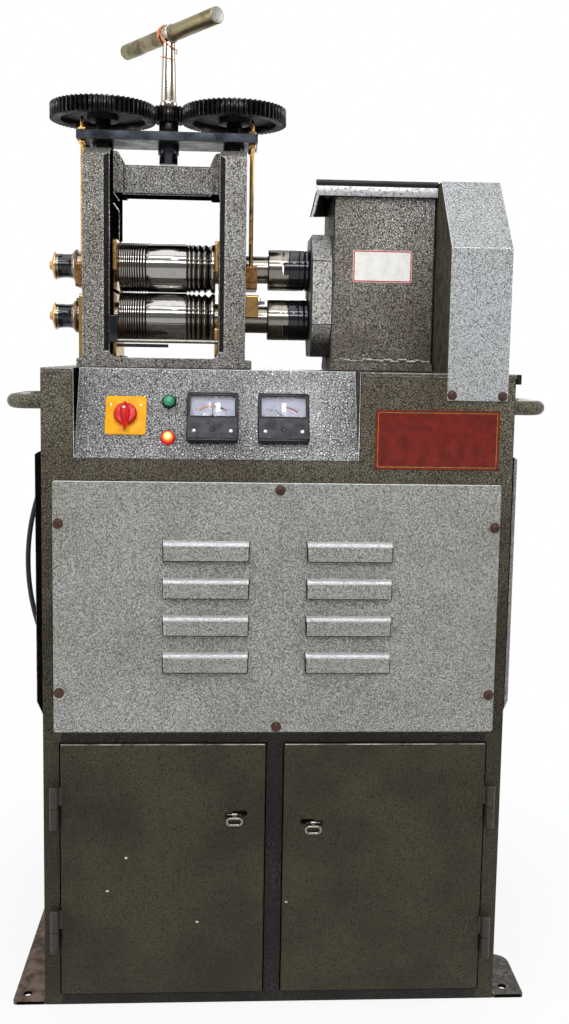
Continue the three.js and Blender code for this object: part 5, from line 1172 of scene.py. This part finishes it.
def toothedPiece(name, node, x, rim, hub, segments, hubMaterial):
    bm = bmesh.new()
    at = Matrix.Translation((x, my, 0))
    pushed(bm, rim, mill["gear"], mill["gearTop"], at, 0, 0.4)
    turned(bm, hub, at, segments, hubMaterial)
    # only the teeth were wiped with oil: the flat sides stay dull
    bm.normal_update()
    for face in bm.faces:
        if abs(face.normal.z) > 0.7:
            face.material_index = 1
    place(name, bm, [oiledGear, gearSide], node, "black_oxide", [node])


low, high, hub, web = mill["gear"], mill["gearTop"], gear["hub"], gear["web"] + 0.1
for side, which in ((-1, "left"), (1, "right")):
    profile = eased([(10, low), (hub, low), (hub, low + gear["webRise"]), (web, low + gear["webRise"]),
                     (web, high - 0.8), (hub + 2, high - 0.8), (hub, high), (10, high), (10, low)], 1.0)
    rim = [toothedOutline(gear["teeth"], 180 / gear["teeth"]), circle(gear["web"], count=72)]
    toothedPiece(which + "Gear", which + "_gear", mx + side * mill["gearAt"], rim, profile, 72, 1)
bore = gear["pinionBore"]
toothedPiece("pinionGear", "pinion", mx, [toothedOutline(gear["pinionTeeth"], 0), circle(bore, count=36)],
             eased([(bore, 1287.7), (15, 1287.7), (15, 1308), (bore, 1308), (bore, 1287.7)], 0.5), 40, 0)

stem = {"bar": 1438.0, "turn": -54.0, "length": 253.0, "radius": 12.0, "boss": 14.1, "bossRim": 13.3, "sleeve": 14.5,
        "collar": 16.5, "bore": 8.0, "nut": 14.0}
tee = Matrix.Translation((mx, my, stem["bar"])) @ Matrix.Rotation(math.radians(stem["turn"]), 4, "Z") @ alongX
sleeve, collar, bore, nut = (stem[k] for k in ("sleeve", "collar", "bore", "nut"))
bm = bmesh.new()
turned(bm, eased([(0, 1245, 1), (sleeve, 1245, 1), (sleeve, 1259, 1), (collar, 1259, 1), (collar, 1273.7, 1),
                  (bore, 1273.7, 1), (bore, 1330.3, 1), (nut, 1330.3, 0), (nut, 1337, 0), (12.6, 1339, 0),
                  (11.2, 1380, 0), (9.5, 1425, 0), (9.5, 1433, 0), (0, 1433, 0)], 0.6),
       Matrix.Translation((mx, my, 0)), 56)
rim, boss = stem["bossRim"], stem["boss"]
turned(bm, eased([(12.2, -13), (rim, -13), (rim, -10.5), (boss, -10.2), (boss, 10.2), (rim, 10.5), (rim, 13),
                  (12.2, 13)], 0.4), tee, 56)
place("handleStem", bm, [stemChrome, blackOxide], "pinion", "bare_steel", ["handle_stem"])

bm = bmesh.new()
half, r = stem["length"] / 2, stem["radius"]
turned(bm, eased([(0, -half, 1), (r - 1.2, -half, 1), (r, 1.2 - half, 0), (r, half - 1.2, 0), (r - 1.2, half, 0),
                  (0, half, 1)], 0.4), tee, 56)
place("handleBar", bm, [barSteel, milledFace], "pinion", "aged_steel", ["handle_bar"])

# Soft copper wire wound round the boss by hand, its tail twisted down round the stem.
winding = {"wire": 0.9, "radius": 15.0, "points": 46, "step": 0.35, "start": -12.0, "rise": 3.22}
bm = bmesh.new()
route = []
for k in range(winding["points"]):
    angle = k * winding["step"]
    route.append(tee @ Vector((winding["radius"] * math.cos(angle), winding["radius"] * math.sin(angle),
                               winding["start"] + winding["rise"] * angle / (2 * math.pi))))
bent(bm, route, winding["wire"], steps=2, sides=2)
tail = [(-6, -16.6, 1424), (3, -11.8, 1418), (12, -4, 1414), (8, 9, 1411), (-6, 10, 1408), (-12, -3, 1405),
        (-4, -11.8, 1402), (7, -10, 1399)]
bent(bm, [route[-1]] + [(mx + x, my + y, z) for x, y, z in tail], winding["wire"], steps=6, sides=2)
place("copperWinding", bm, [copperWire], "pinion", "brass", crease=45)

guardBar = {"y": -122.0, "z": 975.0, "radius": 3.0, "half": 79.7, "block": 11.0, "blockHalf": 5.0, "blockTop": 37.0}
end = guardBar["half"]
bm = bmesh.new()
turned(bm, eased([(0, mx - end), (guardBar["radius"], mx - end), (guardBar["radius"], mx + end), (0, mx + end)], 0.3),
       axisAt(guardBar["z"], guardBar["y"]), 28)
y, z, half = guardBar["y"], guardBar["z"], guardBar["blockHalf"]
pushed(bm, [rectangle(y - half, y + half, z - 3, z + guardBar["blockTop"], 1.2)], mx - end,
       mx - end + guardBar["block"], alongX, 1, 0.8)
place("guardRod", bm, [turnedSteel, blackOxide], "cabinet", "bare_steel", ["guard_rod"])

dress("rollWiper", "roll_wiper", [rustySteel], "cabinet", "rusty_steel", bevel=0.6)
print("mill head made")

# Drive side: couplings' flange, gearbox and belt guard.

flange = {"axis": 1051.0, "bore": 41.0}


def flangeTone(c, n):
    # the side towards the mill in the darker copy as painted shade, and the two bores black as painted shade
    if n.x < -0.7:
        return 2
    return 1 if abs(n.x) < 0.5 and math.hypot(c.y - my, c.z - flange["axis"]) < flange["bore"] else 0


dress("shaftFlange", "shaft_flange", [castingHammer, shadeBlack, castingSideShade], "cabinet", "grey_hammertone",
      bevel=1.6, pick=flangeTone)
dress("gearboxHousing", "gearbox_housing", [gearboxHammer, gearboxSideShade], "cabinet", "grey_hammertone", bevel=1.6,
      pick=lambda c, n: 1 if abs(n.x) > 0.7 else 0)

lid = {"left": 52.0, "right": 233.8, "front": -122.0, "back": 56.0, "low": 1192.0, "top": 1215.3, "fold": 1206.5,
       "flapTip": 1160.4, "flapRear": 1184.0, "flapLean": 8.6, "skew": 12.5, "gusset": 0.2, "wall": 10.0}


def lidOutline(inset, side=None):
    side = inset if side is None else side
    return [(lid["left"] + side, lid["front"] + inset), (lid["right"] - inset, lid["front"] + inset),
            (lid["right"] - inset, lid["back"] - inset), (lid["left"] + side + lid["skew"], lid["back"] - inset)]


def leaning(across):
    # a flap stood on its side, leaning out to its tip and running out to the back
    lean = lid["flapLean"] / (bend - lid["flapTip"])
    return Matrix(((1, across, lean, -lean * bend - across * lid["front"]), (0, 1, 0, 0), (0, 0, 1, 0),
                   (0, 0, 0, 1))) @ alongX


bend = lid["low"] + 6
hollow = lidOutline(lid["wall"], lid["wall"] + 2)
flap = [(lid["front"] + 2.5, bend), (lid["back"] - 2.5, bend), (lid["back"] - 2.5, lid["flapRear"]),
        (lid["front"] + 2.5, lid["flapTip"])]
bm = bmesh.new()
# the lip below the fold is drawn bright, partly chipped steel and partly painted highlight, and the underside black as
# painted shade
pushed(bm, [lidOutline(0)], lid["fold"], lid["top"], Matrix(), 0, 2.0)
pushed(bm, [lidOutline(0.5), hollow], lid["low"], lid["fold"] + 0.4, Matrix(), 1, 2.0, 3)
pushed(bm, [lidOutline(3, 4), hollow], lid["low"] - 0.1, lid["low"] + 1, Matrix(), 2)
# The flap is black outside and bright inside, the bright layer a painted highlight, with a dark gusset behind it as
# painted shade.
for start, end, across, index, bevel in ((0.1, 2.0, lid["skew"] / (lid["back"] - lid["front"]), 0, 0.3),
                                         (2.0, 5.8, lid["skew"] / (lid["back"] - lid["front"]), 1, 0.4),
                                         (5.9, 6.9, lid["gusset"], 3, 0.0)):
    pushed(bm, [flap], lid["left"] + start, lid["left"] + end, leaning(across), index, bevel)
place("gearboxLid", bm, [lidBlack, lidEdgeAndHighlight, shadeBlack, railHammer], "cabinet", "black_paint", ["gearbox_lid"])

guard = {"left": 235.0, "innerLeft": 236.0, "innerRight": 320.0, "innerTop": 1213.0}


def guardTone(c, n):
    # khaki primer darkened as painted shade on its left wall, and black inside
    if n.x < -0.7 and c.x < guard["left"]:
        return 2
    facing = n.y > 0.5 and c.y < 0 or n.y < -0.5 and c.y > 0
    return 3 if facing and guard["innerLeft"] < c.x < guard["innerRight"] and c.z < guard["innerTop"] else 0


# its upward edges are drawn paler as a painted highlight
dress("beltGuard", "belt_guard", [guardHammer, silverFoldHighlight, khakiPrimerShaded, blackEnamel], "cabinet", "silver_hammertone",
      bevel=1.0, pick=guardTone, edge=lambda c, n: 1 if n.z > 0.1 else 0)
boltHeads("guardBolts", ((241.5, 905.0), (313.5, 904.0)), -228,
          [(0, 0), (6.8, 0), (6.8, 1.1), (5.6, 1.3), (5.4, 2.6), (3.6, 4.2), (0, 4.8)], 0.4, 28)

sticker = {"left": 110.5, "right": 199.0, "low": 1068.0, "high": 1115.0}
bm = bmesh.new()
pushed(bm, [inset(sticker, 0, 3.0)], 110.9, 111.25, alongFront, 0)
pushed(bm, [inset(sticker, 0.6, 2.6), inset(sticker, 2.4, 1.6)], 111.2, 111.35, alongFront, 1)
place("bareSticker", bm, [stickerVinyl, redVinyl], "cabinet", "grey_hammertone")

# A thin smear of filler where the gearbox foot meets the bench.
streak = {"z": 950.5, "face": 117.8, "thick": 0.35, "start": 84.0, "end": 226.0, "steps": 6}
bm = bmesh.new()
x = streak["start"]
while x < streak["end"]:
    length = 5 + 9 * random.random()
    z = streak["z"] + 3.0 * random.random()
    high = 0.7 + 1.1 * random.random()
    count = streak["steps"]
    top = [(x + length * k / count, z + high * (0.4 + random.random())) for k in range(count + 1)]
    low = [(x + length * k / count, z - high * 0.4 * random.random()) for k in range(count, -1, -1)]
    pushed(bm, [low[::-1] + top[::-1]], streak["face"], streak["face"] + streak["thick"], alongFront)
    x += length * 0.8 + 3 * random.random()
place("fillerStreaks", bm, [paleFiller], "cabinet", "grey_hammertone")

# Inside the guard and the cabinet the CAD solids show as they are.
carried = {"motor": motorEnamel, "input_pulley": pulleyIron, "motor_pulley": pulleyIron, "drive_belt": beltRubber}
for node, material in carried.items():
    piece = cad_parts[node]
    piece.data.materials.clear()
    piece.data.materials.append(material)
print("drive made")

# Floor, background and lamps.


def seenRays(owner):
    # the rays that see the white room: the camera's, and those that metal and glass send on
    ray = addNode(owner, "ShaderNodeLightPath").outputs
    seen = addNode(owner, "ShaderNodeMath", {0: ray["Is Camera Ray"], 1: ray["Is Glossy Ray"]},
                   operation="MAXIMUM").outputs[0]
    return addNode(owner, "ShaderNodeMath", {0: seen, 1: ray["Is Transmission Ray"]}, operation="MAXIMUM").outputs[0]


def makeFloor():
    material = newMaterial("pale floor paper rolled")
    where = addNode(material, "ShaderNodeTexCoord").outputs["Object"]
    fibres = addNode(material, "ShaderNodeTexNoise", {"Vector": where, "Scale": 9.0, "Detail": 4.0}).outputs[0]
    tone = addNode(material, "ShaderNodeValToRGB", {0: fibres}, [(0.3, "f2f2f2"), (0.7, "f8f8f8")]).outputs[0]
    paper = addNode(material, "ShaderNodeBsdfDiffuse", {"Color": tone}).outputs[0]
    glow = addNode(material, "ShaderNodeEmission", {"Color": (1, 1, 1, 1), "Strength": 1.0}).outputs[0]
    away = addNode(material, "ShaderNodeVectorMath", {0: where}, operation="LENGTH").outputs["Value"]
    share = addNode(material, "ShaderNodeMapRange", {"Value": away, "From Min": 0.45, "From Max": 0.95, "To Min": 0.82,
                                                     "To Max": 1.0}).outputs[0]
    share = addNode(material, "ShaderNodeMath", {0: seenRays(material), 1: share}, operation="MULTIPLY").outputs[0]
    shader = addNode(material, "ShaderNodeMixShader", {0: share, 1: paper, 2: glow}).outputs[0]
    addNode(material, "ShaderNodeOutputMaterial", {"Surface": shader})
    bm = bmesh.new()
    turned(bm, [(radius, -0.5) for radius in (0, 1500, 6000, 14000)], Matrix(), 96)
    bmesh.ops.scale(bm, vec=toMetres, verts=bm.verts)
    bmesh.ops.recalc_face_normals(bm, faces=bm.faces)
    mesh = bpy.data.meshes.new("floor")
    bm.to_mesh(mesh)
    bm.free()
    mesh.materials.append(material)
    floor = bpy.data.objects.new("floor", mesh)
    scene.collection.objects.link(floor)
    floor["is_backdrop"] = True


def makeWorld():
    world = bpy.data.worlds.new("studio")
    scene.world = world
    world.use_nodes = True
    world.node_tree.nodes.clear()
    toward = addNode(world, "ShaderNodeSeparateXYZ",
                     {0: addNode(world, "ShaderNodeTexCoord").outputs["Generated"]}).outputs
    # the room behind the camera is dimmer than the white sheet, which gives polished steel its darker bands
    front = addNode(world, "ShaderNodeMapRange", {"Value": toward[1], "From Min": -0.1, "From Max": -0.6}).outputs[0]
    level = addNode(world, "ShaderNodeMapRange", {"Value": toward[2], "From Min": 0.8, "From Max": 0.35}).outputs[0]
    dim = addNode(world, "ShaderNodeMath", {0: front, 1: level}, operation="MULTIPLY").outputs[0]
    mirrored = addNode(world, "ShaderNodeMapRange", {"Value": dim, "To Min": 1.0, "To Max": 0.3}).outputs[0]
    ambient = addNode(world, "ShaderNodeMix", {0: seenRays(world), 2: 0.35, 3: 1.0}, data_type="FLOAT").outputs[0]
    glossy = addNode(world, "ShaderNodeLightPath").outputs["Is Glossy Ray"]
    strength = addNode(world, "ShaderNodeMix", {0: glossy, 2: ambient, 3: mirrored}, data_type="FLOAT").outputs[0]
    sky = addNode(world, "ShaderNodeBackground", {"Color": (1, 1, 1, 1), "Strength": strength})
    addNode(world, "ShaderNodeOutputWorld", {"Surface": sky.outputs[0]})


def makeLamp(name, place, target, size, power):
    data = bpy.data.lights.new(name, "AREA")
    data.shape, data.size, data.size_y = "RECTANGLE", size[0], size[1]
    data.energy = power
    light = bpy.data.objects.new(name, data)
    light.location = place
    light.rotation_mode = "QUATERNION"
    light.rotation_quaternion = (Vector(target) - Vector(place)).to_track_quat("-Z", "Y")
    scene.collection.objects.link(light)


scene.view_settings.view_transform = "Standard"
makeFloor()
makeWorld()
# name: place, target, width and height in metres, watts
lamps = {"tubeLow": ((-0.2, -2.6, 2.2), (-0.1, 0, 0.9), (2.8, 0.3), 30),
         "tubeHigh": ((-0.2, -2.3, 3.35), (-0.1, 0, 1.0), (2.4, 0.2), 22),
         "spot": ((0.16, -2.3, 2.81), (0, 0, 0.9), (0.22, 0.14), 4),
         "overhead": ((0, -0.5, 3.6), (0, -0.1, 1.0), (3.0, 2.4), 32),
         "leftSide": ((-3.0, -0.6, 1.6), (0, 0, 0.8), (1.2, 1.8), 20),
         "rightSide": ((3.0, -0.4, 1.6), (0, 0, 0.8), (1.2, 1.8), 20),
         "backSide": ((0.3, 3.0, 2.0), (0, 0, 0.8), (1.8, 1.4), 30)}
for name, settings in lamps.items():
    makeLamp(name, *settings)
print("studio made")

low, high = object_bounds()
{"cad": [list(cadLow), list(cadHigh)], "visual": [list(low), list(high)]}
